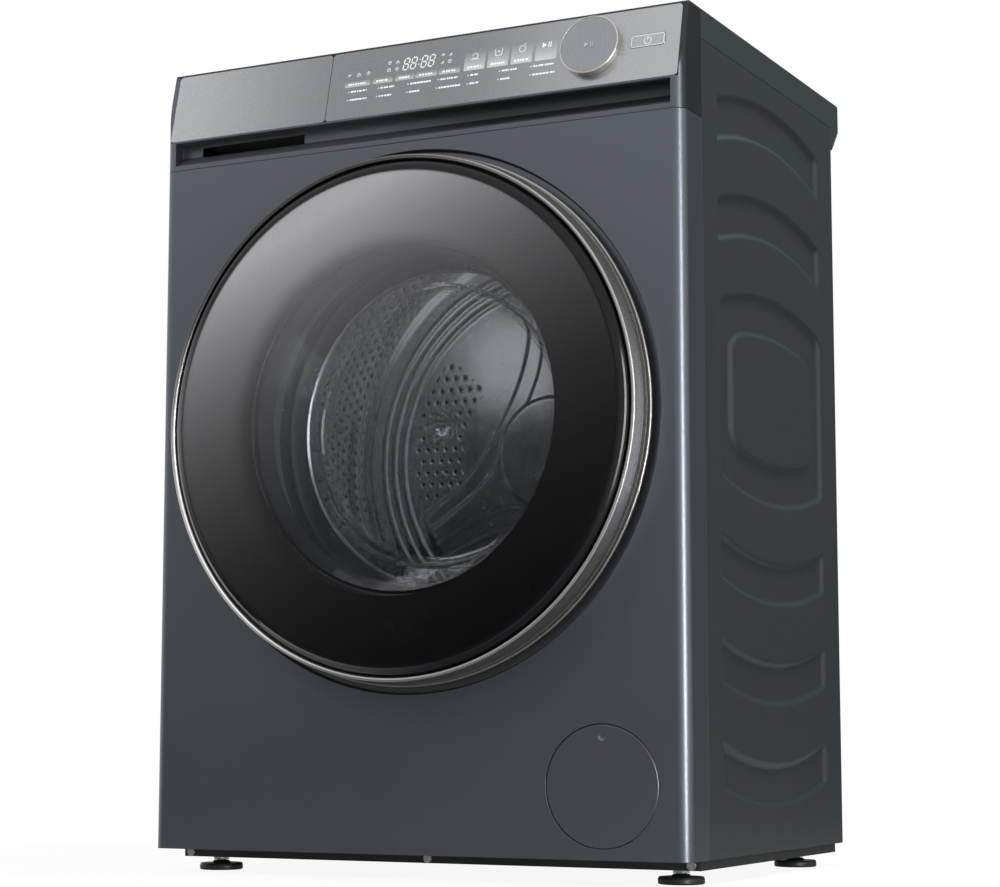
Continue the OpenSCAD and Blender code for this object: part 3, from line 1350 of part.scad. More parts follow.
module suspension_springs() {
  low = spring_low_z + 14;
  high = hanger_z - 14;
  placed() color("#9fa2a4") for (side = [-1, 1]) translate([side * spring_x, spring_y, 0]) {
    translate([0, 0, low]) coil(spring_coil_r, spring_wire / 2, (high - low) / spring_turns, spring_turns);
    // The straight ends pass through the bracket and the ear and carry a head on the far side
    translate([0, 0, high - 1]) cylinder(h = hanger_z + 4 - high, r = spring_wire / 2);
    translate([0, 0, hanger_z + 0.1]) cylinder(h = 4, r = spring_wire * 1.4);
    translate([0, 0, high - 2.4]) cylinder(h = 3, r = spring_coil_r + 2);
    translate([0, 0, low - 1]) cylinder(h = 3, r = spring_coil_r + 2);
    translate([0, 0, spring_low_z - 6]) cylinder(h = low - spring_low_z + 6, r = spring_wire / 2);
    translate([0, 0, spring_low_z - 7.1]) cylinder(h = 4, r = spring_wire * 1.4);
  }
}

// Friction dampers between the base and the tub
module dampers() {
  placed() color("#3c3f42") for (side = [-1, 1]) {
    dx = damper_foot_x - damper_top_x;
    dz = damper_top_z - damper_foot_z;
    span = sqrt(dx * dx + dz * dz);
    translate([side * damper_foot_x, damper_y, damper_foot_z]) rotate([0, -side * atan(dx / dz), 0]) {
      difference() {
        union() {
          cylinder(h = span * 0.3, r = 7);
          translate([0, 0, 17]) cylinder(h = span * 0.6, r = 13);
        }
        translate([0, 0, span * 0.25]) cylinder(h = span, r = 7);
        rotate([-90, 0, 0]) cylinder(h = 24, r = damper_pin_r + 0.3, center = true);
      }
      translate([0, 0, span * 0.3]) cylinder(h = span * 0.7 - 6, r = 6.5);
      for (z = [0, span]) translate([0, 0, z]) rotate([-90, 0, 0]) difference() {
        cylinder(h = clevis_gap - 2 * running_gap, r = 9, center = true);
        cylinder(h = 24, r = damper_pin_r + 0.3, center = true);
      }
    }
    for (p = [[damper_foot_x, damper_foot_z], [damper_top_x, damper_top_z]])
      bar_y(side * p[0], p[1], damper_y - clevis_gap / 2 - clevis_t - 1, damper_y + clevis_gap / 2 + clevis_t + 1, damper_pin_r);
  }
}

// The two straight rods of the heater, which pass through the sump's front wall
module heater_rods(grow) {
  for (x = [-24, 24]) bar_y(x, heater_z, sump_y0 - 14, sump_y1 - 40, 4 + grow);
}

module heater() {
  placed() color("#a4a6a8") {
    box([-38, sump_y0 - 6, heater_z - 9], [38, sump_y0 - seat_gap, heater_z + 9]);
    heater_rods(0);
    translate([0, sump_y1 - 40, heater_z]) rotate_extrude(angle = 180) translate([24, 0]) circle(r = 4, $fn = 32);
  }
}

// ---- Pump, filter and hatch ----

module drain_pump() {
  placed() color("#dcdedf") difference() {
    union() {
      bar_y(hatch_x, hatch_z, pump_y0, volute_y + 22, filter_r + pump_wall);
      bar_y(hatch_x, hatch_z, volute_y - 2, volute_y + 24, filter_r + 6);
      bar_y(hatch_x, hatch_z, volute_y + 22, volute_y + 78, 27);
      // Inlet from the tub, on top, and outlet to the drain hose, at the inner side
      translate([drain_x, drain_y, hatch_z]) cylinder(h = inlet_h, r = drain_r);
      translate([hatch_x - 62, volute_y + 12, hatch_z - 12]) rotate([0, 90, 0]) cylinder(h = 50, r = 10);
      // Feet on the base
      for (y = [side_y + flange_w + base_wall + 5, volute_y + 40]) box([hatch_x - 26, y, pump_foot_z], [hatch_x + 26, y + 10, hatch_z]);
    }
    bar_y(hatch_x, hatch_z, pump_y0 - cut, volute_y + 18, filter_r);
    translate([drain_x, drain_y, hatch_z]) cylinder(h = inlet_h + cut, r = drain_r - pump_wall + 0.5);
    translate([hatch_x - 63, volute_y + 12, hatch_z - 12]) rotate([0, 90, 0]) cylinder(h = 50, r = 8);
    bar_y(hatch_x, hatch_z, volute_y, volute_y + 40, impeller_shaft_r + shaft_gap);
  }
}

module pump_impeller() {
  placed() color("#5a6d7a") {
    bar_y(hatch_x, hatch_z, volute_y + 1, volute_y + 36, impeller_shaft_r);
    difference() {
      bar_y(hatch_x, hatch_z, volute_y + 1, volute_y + 15, 8);
      bar_y(hatch_x, hatch_z, volute_y, volute_y + 16, impeller_shaft_r - 0.01);
    }
    translate([hatch_x, 0, hatch_z]) for (a = [0 : 60 : 300]) rotate([0, a, 0])
      box([6, volute_y + 1, -1], [filter_r - 4, volute_y + 15, 1]);
  }
}

// Cap that screws into the pump's mouth and carries the lint filter
module filter_cap() {
  y0 = pump_y0 - 6;
  in_r = filter_r - running_gap;
  placed() color("#3a6ea8") {
    difference() {
      union() {
        bar_y(hatch_x, hatch_z, y0, pump_y0 - running_gap, filter_r + 6);
        bar_y(hatch_x, hatch_z, pump_y0 - running_gap - 0.01, pump_y0 + 14, in_r);
        // Bar that the fingers turn
        front_profile(y0 - 10, y0 + cut) translate([hatch_x, hatch_z]) round_rect(52, 11, 5);
      }
      bar_y(hatch_x, hatch_z, pump_y0 + 2, pump_y0 + 15, in_r - 3);
    }
    // Basket: a rear ring on ribs
    revolve(hatch_x, hatch_z) translate([in_r - 8, pump_y0 + 78]) square([5, 4]);
    translate([hatch_x, 0, hatch_z]) for (a = [0 : 45 : 315]) rotate([0, a, 0])
      box([in_r - 7, pump_y0 + 2, -1.2], [in_r - 4, pump_y0 + 79, 1.2]);
  }
}

// The tongue under the hatch sits behind the panel, so that the hatch tilts about its lower edge
module filter_hatch() {
  r = hatch_dia / 2;
  placed() color("#4a4f53") difference() {
    union() {
      revolve(hatch_x, hatch_z) polygon([[0, 0], [r - 0.8, 0], [r, 0.8], [r - 0.6, 1.2], [r - 3, 2.2],
        [r - 3, 4], [r - 5, 4], [r - 5, 2.2], [0, 2.2]]);
      translate([hatch_x, 0, hatch_z - r]) box([-12, sheet_t + 0.3, -5], [12, 3.4, 6]);
    }
    // Dimple for the finger near the upper edge
    translate([hatch_x, -5.2, hatch_z + r - 12]) sphere(r = 6.4, $fn = 48);
  }
}

// ---- Hoses and fittings ----

module sump_hose() {
  low = hatch_z + inlet_h - 14;
  high = drain_low_z + 9;
  in_r = drain_r + seat_gap;
  folds = 5;
  pitch = (high - low - 30) / folds;
  placed() color("#2a2c2d") translate([drain_x, drain_y, 0]) rotate_extrude() polygon(concat(
    [[in_r, low], [in_r + 3, low], [in_r + 3, low + 14]],
    [for (i = [0 : folds - 1], k = [0, 1]) [in_r + (k == 0 ? 7 : 3), low + 15 + pitch * (i + 0.25 + k / 2)]],
    [[in_r + 3, high - 14], [in_r + 3, high], [in_r, high], [in_r, high - 14]],
    [for (i = [folds - 1 : -1 : 0], k = [1, 0]) [in_r + (k == 0 ? 4 : 0.2), low + 15 + pitch * (i + 0.25 + k / 2)]],
    [[in_r, low + 14]]));
}

module inlet_valve() {
  placed() color("#c8cacb") {
    difference() {
      union() {
        bar_y(valve_x, valve_z, rear_y - 30, rear_y + 1, thread_r - 0.8);
        bar_y(valve_x, valve_z, rear_y + 1, rear_y + 15, thread_r);
        bar_y(valve_x, valve_z, rear_y - 8, rear_y - sheet_t - seat_gap, valve_r + 6);
        box([valve_x - 16, rear_y - 58, valve_z - 14], [valve_x + 16, rear_y - 28, valve_z + 14]);
        translate([valve_x, rear_y - 44, valve_z - 40]) cylinder(h = 30, r = 7);
        translate([valve_x, rear_y - 44, valve_z + 12]) cylinder(h = 22, r = 13);
      }
      bar_y(valve_x, valve_z, rear_y - 20, rear_y + 16, 9.5);
      translate([valve_x, rear_y - 44, valve_z - 41]) cylinder(h = 24, r = 5);
    }
  }
}

module drain_spigot() {
  placed() color("#3a3c3e") difference() {
    union() {
      bar_y(spigot_x, spigot_z, rear_y - 30, rear_y + 20, spigot_r);
      bar_y(spigot_x, spigot_z, rear_y + seat_gap, rear_y + 4, spigot_r + 7);
    }
    bar_y(spigot_x, spigot_z, rear_y - 31, rear_y + 21, spigot_r - 2);
  }
}

module mains_gland() {
  placed() color("#1f2122") difference() {
    union() {
      bar_y(gland_x, gland_z, rear_y - 14, rear_y + 2, gland_r - seat_gap);
      revolve(gland_x, gland_z) polygon([[0, rear_y + seat_gap], [gland_r + 4, rear_y + seat_gap],
        [gland_r + 4, rear_y + 4], [gland_r, rear_y + 14], [0, rear_y + 14]]);
    }
    bar_y(gland_x, gland_z, rear_y - 15, rear_y + 15, 4.2);
  }
}

side_panel_left();
side_panel_right();
front_panel();
rear_panel();
rear_cover();
top_cover();
top_rear_trim();
base_frame();
cabinet_screws();
control_fascia();
control_glass();
control_board();
drawer_housing();
drawer_tray();
drawer_front();
siphon_cap();
programme_knob();
knob_ring();
power_button();
door_outer_ring();
door_trim_ring();
door_glass();
door_bowl();
door_inner_frame();
hinge_base();
hinge_leaf();
door_hook();
door_lock();
door_gasket();
gasket_clamp();
tub_front();
tub_rear();
tub_screws();
bearings();
drum_shell();
drum_back();
drum_lifters();
drum_spider();
drum_shaft();
motor_stator();
motor_rotor();
counterweight_front();
counterweight_top();
suspension_springs();
dampers();
heater();
drain_pump();
pump_impeller();
filter_cap();
filter_hatch();
sump_hose();
inlet_valve();
drain_spigot();
mains_gland();
transit_caps();
foot_locknuts();
foot_front_left();
foot_front_right();
foot_rear_left();
foot_rear_right();
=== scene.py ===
"""Looks of the front loading washing machine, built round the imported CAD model."""
import math
import random

import bmesh
import bpy
from mathutils import Matrix, Vector


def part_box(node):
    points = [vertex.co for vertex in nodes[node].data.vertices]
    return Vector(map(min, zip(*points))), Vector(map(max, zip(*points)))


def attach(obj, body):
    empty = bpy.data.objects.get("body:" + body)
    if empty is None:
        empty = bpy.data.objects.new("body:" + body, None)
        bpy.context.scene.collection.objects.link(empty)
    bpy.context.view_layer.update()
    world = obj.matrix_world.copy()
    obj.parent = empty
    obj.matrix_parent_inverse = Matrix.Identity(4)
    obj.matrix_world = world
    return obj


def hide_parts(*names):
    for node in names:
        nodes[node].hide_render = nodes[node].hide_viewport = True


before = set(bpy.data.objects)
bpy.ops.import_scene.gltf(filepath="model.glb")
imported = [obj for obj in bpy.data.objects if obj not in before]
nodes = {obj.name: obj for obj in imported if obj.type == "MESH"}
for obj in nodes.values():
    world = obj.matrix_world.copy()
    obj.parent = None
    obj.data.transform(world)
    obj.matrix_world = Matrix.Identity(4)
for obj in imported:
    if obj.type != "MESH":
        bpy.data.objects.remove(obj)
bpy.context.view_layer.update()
MM = 0.001

# ---- Places, taken from the frame ----------------------------------------------------

FRONT_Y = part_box("front_panel")[0].y
ring_low, ring_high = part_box("door_trim_ring")
DOOR = Vector((0, FRONT_Y, (ring_low.z + ring_high.z) / 2))
GLASS_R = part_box("door_glass")[1].x
DRUM_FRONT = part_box("drum_shell")[0].y
knob_low, knob_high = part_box("knob_ring")
button_low, button_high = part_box("power_button")

# The control glass leans back: its angle, its thickness and its own directions
LEAN = math.radians(13.32)
GLASS_THICK = 0.003
GLASS_UP = Vector((0, math.sin(LEAN), math.cos(LEAN)))
GLASS_OUT = Vector((0, -math.cos(LEAN), math.sin(LEAN)))
GLASS_FOOT = Vector((0, FRONT_Y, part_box("control_glass")[0].z + GLASS_THICK * math.sin(LEAN)))


# ---- Material kit --------------------------------------------------------------------


class Shader:
    """A node tree with short calls for the nodes that the materials here share."""

    def __init__(self, name):
        self.mat = bpy.data.materials.new(name)
        self.mat.use_nodes = True
        self.tree = self.mat.node_tree
        self.bsdf = self.tree.nodes["Principled BSDF"]
        self.out = self.tree.nodes["Material Output"]
        self.coord = self.tree.nodes.new("ShaderNodeTexCoord")

    def node(self, kind, **settings):
        n = self.tree.nodes.new("ShaderNode" + kind)
        for key, value in settings.items():
            setattr(n, key, value)
        return n

    def link(self, a, b):
        self.tree.links.new(a, b)

    def put(self, socket, value):
        """A constant, or another node's output, into a socket of the main shader."""
        if isinstance(value, bpy.types.NodeSocket):
            self.link(value, self.bsdf.inputs[socket])
        else:
            self.bsdf.inputs[socket].default_value = value

    def math(self, op, *values):
        """One step of arithmetic on constants or on other nodes' outputs."""
        n = self.node("Math", operation=op)
        for slot, v in zip(n.inputs, values):
            if isinstance(v, (int, float)):
                slot.default_value = v
            else:
                self.link(v, slot)
        return n.outputs[0]

    def add(self, a, b):
        return self.math("ADD", a, b)

    def sub(self, a, b):
        return self.math("SUBTRACT", a, b)

    def mul(self, a, b):
        return self.math("MULTIPLY", a, b)

    def reach(self, a, b):
        """Distance of the point (a, b) from the origin."""
        return self.math("SQRT", self.add(self.mul(a, a), self.mul(b, b)))

    def xyz(self):
        """The point's place in the object's own frame. At rest that is the world's frame for
        every piece of the machine."""
        s = self.node("SeparateXYZ")
        self.link(self.coord.outputs["Object"], s.inputs[0])
        return s.outputs

    def noise(self, scale, detail=3.0, rough=0.55, stretch=None):
        n = self.node("TexNoise")
        n.inputs["Scale"].default_value = scale
        n.inputs["Detail"].default_value = detail
        n.inputs["Roughness"].default_value = rough
        source = self.coord.outputs["Object"]
        if stretch:
            m = self.node("Mapping")
            m.inputs["Scale"].default_value = stretch
            self.link(source, m.inputs["Vector"])
            source = m.outputs[0]
        self.link(source, n.inputs["Vector"])
        return n.outputs[0]

    def ramp(self, value, stops):
        r = self.node("ValToRGB")
        for item, (at, colour) in zip(r.color_ramp.elements, stops):
            item.position = at
            item.color = (*colour, 1)
        self.link(value, r.inputs[0])
        return r.outputs[0]

    def spread(self, value, low, high, to_low, to_high, smooth=True):
        """Value's range from low to high spread over to_low to to_high, and held beyond."""
        m = self.node("MapRange", interpolation_type="SMOOTHSTEP" if smooth else "LINEAR")
        for slot, v in zip(m.inputs[1:], (low, high, to_low, to_high)):
            slot.default_value = v
        self.link(value, m.inputs[0])
        return m.outputs[0]

    def layer(self, kind, colour=None, **values):
        """A shader node with its first colour and its other values; its output."""
        n = self.node(kind)
        if colour:
            n.inputs[0].default_value = (*colour, 1)
        for key, value in values.items():
            n.inputs[key.replace("_", " ")].default_value = value
        return n.outputs[0]

    def mix(self, share, first, second):
        """Two shaders mixed, with this share of the second."""
        m = self.node("MixShader")
        for slot, source in zip(m.inputs, (share, first, second)):
            self.link(source, slot)
        return m.outputs[0]

    def show(self, shader):
        self.link(shader, self.out.inputs[0])

    def bump(self, heights, bevel=0.0):
        """Stacks bumps: each entry is a height output, its strength and its distance in metres."""
        normal = None
        if bevel:
            b = self.node("Bevel", samples=6)
            b.inputs["Radius"].default_value = bevel
            normal = b.outputs[0]
        for height, strength, distance in heights:
            n = self.node("Bump")
            n.inputs["Strength"].default_value = strength
            n.inputs["Distance"].default_value = distance
            self.link(height, n.inputs["Height"])
            if normal:
                self.link(normal, n.inputs["Normal"])
            normal = n.outputs[0]
        self.put("Normal", normal)


def tint(colour, k):
    """The colour, made lighter or darker."""
    return tuple(c * k for c in colour)


def paint(name, colour, metallic=0.0, rough=0.4, grain=900, bump=0.1, bevel=0.0006, vary=0.08,
          coat=0.0, coat_rough=0.1, uneven=0.1, fade=None):
    """Painted or moulded surface: slightly uneven colour and gloss, and fine orange peel.
    fade(shader) gives a level that the colour is multiplied with, to paint shade into it."""
    s = Shader(name)
    clouds = s.noise(7, 2)
    colours = s.ramp(clouds, [(0.3, tint(colour, 1 - vary)), (0.7, tint(colour, 1 + vary))])
    if fade:
        mix = s.node("MixRGB", blend_type="MULTIPLY")
        mix.inputs[0].default_value = 1.0
        s.link(colours, mix.inputs[1])
        s.link(fade(s), mix.inputs[2])
        colours = mix.outputs[0]
    s.put("Base Color", colours)
    s.put("Metallic", metallic)
    s.put("Roughness", s.spread(s.noise(35, 4), 0.3, 0.7,
                                rough * (1 - uneven), min(1, rough * (1 + uneven))))
    s.put("Coat Weight", coat)
    s.put("Coat Roughness", coat_rough)
    s.bump([(s.noise(grain, 2), bump, 0.00005)], bevel)
    return s.mat


def brushed(name, colour, rough=0.3, stretch=(4, 4, 400), bump=0.25, metallic=1.0, bevel=0.0004):
    """Brushed or drawn metal: long fine scratches and faint clouds."""
    s = Shader(name)
    scratch = s.noise(6, 6, 0.7, stretch)
    s.put("Base Color", s.ramp(scratch, [(0.25, tint(colour, 0.86)), (0.75, tint(colour, 1.08))]))
    s.put("Metallic", metallic)
    s.put("Roughness", s.spread(scratch, 0.3, 0.7, rough * 0.75, rough * 1.3))
    s.bump([(scratch, bump, 0.00004), (s.noise(60, 3), 0.1, 0.0001)], bevel)
    return s.mat


def dress(material, *names):
    """Gives CAD nodes their material."""
    for name in names:
        mesh = nodes[name].data
        mesh.materials.clear()
        mesh.materials.append(material)


# ---- Panels --------------------------------------------------------------------------

GRAPHITE = (0.116, 0.128, 0.147)
SLATE = (0.029, 0.037, 0.041)
front_paint = paint("front_paint", GRAPHITE, 0.75, 0.36, 1400, 0.1, 0.0008, 0.01, uneven=0.02)
side_paint = paint("side_paint", tint(SLATE, 0.88), 0.0, 0.4, 1200, 0.12, 0.0008, 0.02,
                   0.16, 0.25, uneven=0.03)
cover_plastic = paint("cover_plastic", tint(SLATE, 1.05), 0.0, 0.42, 1500, 0.25, 0.0012, 0.02,
                      uneven=0.03)
dress(front_paint, "front_panel", "filter_hatch")


def add_object(name):
    """An object with a mesh of its own, in the scene."""
    obj = bpy.data.objects.new(name, bpy.data.meshes.new(name))
    bpy.context.scene.collection.objects.link(obj)
    return obj


def fill(obj, bm):
    bm.to_mesh(obj.data)
    bm.free()


def surface(name, rows, cols, point, material, body):
    """A smooth sheet through point(u, v), with u and v from 0 to 1."""
    bm = bmesh.new()
    bmesh.ops.create_grid(bm, x_segments=rows, y_segments=cols, size=0.5)
    for v in bm.verts:
        v.co = point(v.co.x + 0.5, v.co.y + 0.5)
    bmesh.ops.remove_doubles(bm, verts=bm.verts, dist=1e-6)
    for f in bm.faces:
        f.smooth = True
    obj = add_object(name)
    obj.data.materials.append(material)
    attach(obj, body)
    return obj, bm


def ease(t):
    """0 below 0, 1 above 1 and a soft slope between."""
    t = min(1.0, max(0.0, t))
    return t * t * (3 - 2 * t)


def meet(r, *distances):
    """Signed distance to where several regions overlap, with corners of radius r."""
    return (math.hypot(*(max(d + r, 0.0) for d in distances)) - r) + min(max(distances) + r, 0.0)


# The side panels' pressing: arched bands above and below a ring, in metres
BAND_R = 0.560                          # the arch
BAND_H, BAND_LEN, BAND_PITCH = 0.045, 0.306, 0.1015
BAND_DEEP, BAND_LIP = 0.004, 0.0062     # depth, and width of the slope into it
BAND_CORNER = 0.006
BAND_FORWARD = 0.0024                   # of the panel's middle
BAND_REACH = 0.09                       # points farther from a band's tip are clear of it
RING_Z, RING_HALF, RING_SIDE = 0.481, 0.109, 0.042
RING_CORNER, RING_INNER_CORNER = 0.010, 0.012
END_SLOPE = 0.45                        # rear ends run out softly
panel_low, panel_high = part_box("side_panel_right")
BAND_Y = (panel_low.y + panel_high.y) / 2 - BAND_FORWARD
BANDS = [(RING_Z + RING_HALF + i * BAND_PITCH, 1) for i in (1, 2)]
BANDS += [(RING_Z - RING_HALF - i * BAND_PITCH, -1) for i in (1, 2, 3)]


def barrel(y, z, half, length, r):
    """Signed distance to a field with an arched top and foot, round the ring's middle."""
    above = math.hypot(y, z - RING_Z - half + BAND_R) - BAND_R
    below = math.hypot(y, z - RING_Z + half - BAND_R) - BAND_R
    return meet(r, above, below, END_SLOPE * (abs(y) - length / 2))


def pressed(y, z):
    """How far the pressing has gone in at a point of the panel."""
    y -= BAND_Y
    near = -barrel(y, z, RING_HALF - BAND_H, BAND_LEN - 2 * RING_SIDE, RING_INNER_CORNER)
    near = max(near, barrel(y, z, RING_HALF, BAND_LEN, RING_CORNER))
    slope = END_SLOPE if y > 0 else 1.0
    for tip, up in BANDS:
        if abs(z - tip) < BAND_REACH:
            arch = math.hypot(y, z - tip + up * BAND_R)
            near = min(near, meet(BAND_CORNER, arch - BAND_R, BAND_R - BAND_H - arch,
                                  slope * (abs(y) - BAND_LEN / 2)))
    return BAND_DEEP * ease(-near / BAND_LIP)


# The side sheets: their mesh's pitch, their distance inside the box, their flanges' depth and
# the bracket of the tub's spring
SHEET_STEP, SHEET_STEP_QUICK = 0.0017, 0.004
SHEET_INSET = 0.0001
FLANGE = 0.014
BRACKET = Vector((0.2685, sum(c.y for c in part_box("suspension_springs")) / 2,
                  GLASS_FOOT.z - 0.0075))
BRACKET_SIZE = Vector((0.053, 0.04, 0.003))
BRACKET_EDGE = 0.001


def side_panel(side):
    """Sheet with its pressing, its four flanges and the bracket of the tub's spring."""
    step = SHEET_STEP
    tall, deep = panel_high.z - panel_low.z, panel_high.y - panel_low.y

    def point(u, v):
        y, z = panel_low.y + u * deep, panel_low.z + v * tall
        return Vector((side * (panel_high.x - SHEET_INSET - pressed(y, z)), y, z))

    name = "side_sheet_right" if side > 0 else "side_sheet_left"
    obj, bm = surface(name, int(deep / step), int(tall / step), point, side_paint, "cabinet")
    rim = [e for e in bm.edges if e.is_boundary]
    for e in rim:
        e.smooth = False
    for part in bmesh.ops.extrude_edge_only(bm, edges=rim)["geom"]:
        if isinstance(part, bmesh.types.BMVert):
            part.co.x = side * (panel_high.x - FLANGE)
    bracket = bmesh.ops.create_cube(bm, size=1.0)["verts"]
    for v in bracket:
        v.co = BRACKET + v.co * BRACKET_SIZE
        v.co.x *= side
    bmesh.ops.bevel(bm, geom=list({e for v in bracket for e in v.link_edges}),
                    offset=BRACKET_EDGE, segments=2, affect="EDGES")
    bmesh.ops.recalc_face_normals(bm, faces=bm.faces)
    fill(obj, bm)
    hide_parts("side_panel_right" if side > 0 else "side_panel_left")


for side in (1, -1):
    side_panel(side)
dress(cover_plastic, "top_cover", "top_rear_trim")


def galvanised():
    """Zinc coated sheet with its spangle."""
    s = Shader("galvanised")
    cells = s.node("TexVoronoi", feature="F1")
    cells.inputs["Scale"].default_value = 90
    s.link(s.coord.outputs["Object"], cells.inputs["Vector"])
    flakes = s.node("SeparateColor")
    s.link(cells.outputs["Color"], flakes.inputs[0])
    s.put("Base Color", s.ramp(flakes.outputs[0],
                               [(0, (0.33, 0.34, 0.35)), (1, (0.43, 0.44, 0.45))]))
    s.put("Metallic", 0.85)
    s.put("Roughness", s.spread(flakes.outputs[1], 0, 1, 0.36, 0.5))
    s.bump([(s.noise(40, 3), 0.1, 0.0003)], 0.0005)
    return s.mat


dress(galvanised(), "rear_panel", "rear_cover")
dress(paint("base_plastic", (0.022, 0.025, 0.027), 0, 0.5, 900, 0.35, 0.0006),
      "base_frame", "drain_spigot", "mains_gland", "transit_caps", "dampers")
dress(paint("foot_plastic", (0.032, 0.037, 0.039), 0, 0.42, 700, 0.4, 0.0008),
      "foot_front_left", "foot_front_right", "foot_rear_left", "foot_rear_right")
dress(brushed("zinc", (0.62, 0.63, 0.64), 0.28, (30, 30, 30), 0.15),
      "cabinet_screws", "tub_screws", "foot_locknuts", "gasket_clamp", "hinge_base",
      "hinge_leaf", "door_hook", "suspension_springs")

# ---- Control fascia and drawer -------------------------------------------------------


GROOVE_Y = (FRONT_Y + 0.0015, FRONT_Y + 0.006)      # the shade sets in between these depths
GROOVE_X, GROOVE_DARK = (-0.08, 0.10), (0.15, 0.72) # and grows along the groove
FASCIA_REFLECTION_DIP, FASCIA_REFLECTION_SPREAD = 0.02, (0.05, 0.3)       # painted reflection: darkest this far left, and lighter beyond


def groove_shade(s):
    """Painted shade: the grip groove's colour is darker inside, most of all towards the knob."""
    x, y, _ = s.xyz()
    inside = s.spread(y, *GROOVE_Y, 0.0, 1.0)
    return s.sub(1.0, s.mul(inside, s.spread(x, *GROOVE_X, *GROOVE_DARK)))


def fascia_glass():
    """Glossy printed glass under a clear coat. Its metallic colour is lighter towards both ends
    and darkest near the middle: a painted reflection.
    """
    s = Shader("fascia_glass")
    ends = s.math("ABSOLUTE", s.add(s.xyz()[0], FASCIA_REFLECTION_DIP))
    s.put("Base Color", s.ramp(s.spread(ends, *FASCIA_REFLECTION_SPREAD, 0.0, 1.0),
                               [(0, (0.19, 0.20, 0.215)), (1, (0.40, 0.41, 0.43))]))
    s.put("Metallic", 0.8)
    s.put("Roughness", s.spread(s.noise(40, 3), 0.3, 0.7, 0.24, 0.3))
    s.put("Coat Weight", 1.0)
    s.put("Coat Roughness", 0.03)
    s.bump([(s.noise(60, 2), 0.02, 0.0002)], 0.0006)
    return s.mat


# The fascia's colour carries the grip groove's painted shade.
dress(paint("fascia_paint", tint(GRAPHITE, 0.95), 0.6, 0.36, 1400, 0.1, 0.001, 0.015,
            fade=groove_shade), "control_fascia")
dress(fascia_glass(), "control_glass", "drawer_front", "power_button")
dress(paint("board_green", (0.03, 0.11, 0.06), 0, 0.45, 500, 0.3), "control_board")
dress(brushed("knob_face", (0.30, 0.31, 0.33), 0.34, (500, 6, 6), 0.12, 0.7), "programme_knob")
dress(brushed("champagne_trim", (0.66, 0.62, 0.57), 0.2, (6, 6, 300), 0.1), "knob_ring")
dress(paint("tray_plastic", (0.58, 0.60, 0.61), 0, 0.35, 500, 0.2),
      "drawer_housing", "drawer_tray", "inlet_valve", "drain_pump", "door_lock")
dress(paint("blue_plastic", (0.06, 0.17, 0.42), 0, 0.35, 500, 0.2),
      "siphon_cap", "filter_cap", "pump_impeller")

# ---- Door ----------------------------------------------------------------------------

# The trim ring's tone by angle, in radians upwards from its left end: where the lit and the shaded
# stretch begin and end, and how much they change the tone. The lit stretch is a painted highlight,
# and the shaded stretch is painted shade.
LIT_FROM, LIT_TO, LIT_GAIN = (-1.35, -0.75), (-0.5, 0.15), 0.45
SHADED_FROM, SHADED_TO, SHADED_GAIN = (-0.1, 0.5), (1.3, 2.4), -0.36
RING_TONE, RING_GRAIN = 0.46, 0.1


def ring_steel():
    """Turned satin steel round the door. Its colour carries a painted highlight at its lower left
    and painted shade at its upper left."""
    s = Shader("ring_steel")
    x, _, z = s.xyz()
    turn = s.math("ARCTAN2", s.sub(z, DOOR.z), s.mul(x, -1.0))
    lit = s.mul(s.spread(turn, *LIT_FROM, 0.0, 1.0), s.spread(turn, *LIT_TO, 1.0, 0.0))
    shaded = s.mul(s.spread(turn, *SHADED_FROM, 0.0, 1.0), s.spread(turn, *SHADED_TO, 1.0, 0.0))
    fine = s.noise(6, 5, 0.7, (300, 6, 300))
    level = s.add(s.add(s.add(s.mul(lit, LIT_GAIN), s.mul(shaded, SHADED_GAIN)), RING_TONE),
                  s.mul(s.sub(fine, 0.5), RING_GRAIN))
    s.put("Base Color", s.ramp(level, [(0, (0, 0, 0)), (1, (1.0, 0.98, 0.95))]))
    s.put("Metallic", 1.0)
    s.put("Roughness", s.spread(fine, 0.3, 0.7, 0.26, 0.36))
    s.bump([(fine, 0.1, 0.00003)], 0.0012)
    return s.mat


def clear_glass(name, colour, wave=0.0, coat=None):
    """Glass that lets lamp light through to what is behind it. coat(shader) gives the share of
    its front face that mirrors, and the share that is printed black."""
    s = Shader(name)
    s.put("Base Color", (*colour, 1))
    s.put("Transmission Weight", 1.0)
    s.put("IOR", 1.47)
    s.put("Roughness", s.spread(s.noise(30, 2), 0.3, 0.7, 0.0, 0.02))
    if wave:
        s.bump([(s.noise(18, 2), wave, 0.0015)])
    face = s.bsdf.outputs[0]
    if coat:
        mirror_share, black_share = coat(s)
        black = s.layer("BsdfPrincipled", (0.006, 0.006, 0.008), Roughness=0.16,
                        Specular_IOR_Level=0.25)
        gloss = s.layer("BsdfGlossy", (0.96, 0.96, 1.0), Roughness=0.02)
        front = s.sub(1.0, s.node("NewGeometry").outputs["Backfacing"])
        face = s.mix(black_share, face, black)
        face = s.mix(s.mul(front, mirror_share), face, gloss)
    path = s.node("LightPath").outputs
    passes = s.math("MAXIMUM", path["Is Shadow Ray"], path["Is Diffuse Ray"])
    s.show(s.mix(passes, face, s.layer("BsdfTransparent", colour)))
    return s.mat


PANE_EDGE = (0.0135, 0.0105)    # the black print fades in between these distances from the rim
WINDOW_EDGE = (0.160, 0.190)    # the mirror is weaker inside the window than outside
FACE_MIRROR = (0.16, 0.34)      # its share inside and outside
RIM_MIRROR = 0.13               # its share on the black border, at the lower left only
RIM_REACH = (0.35, 0.95)        # cosine of the turn away from there, where it begins and is full
LOW_LEFT = (-0.8, -0.6)


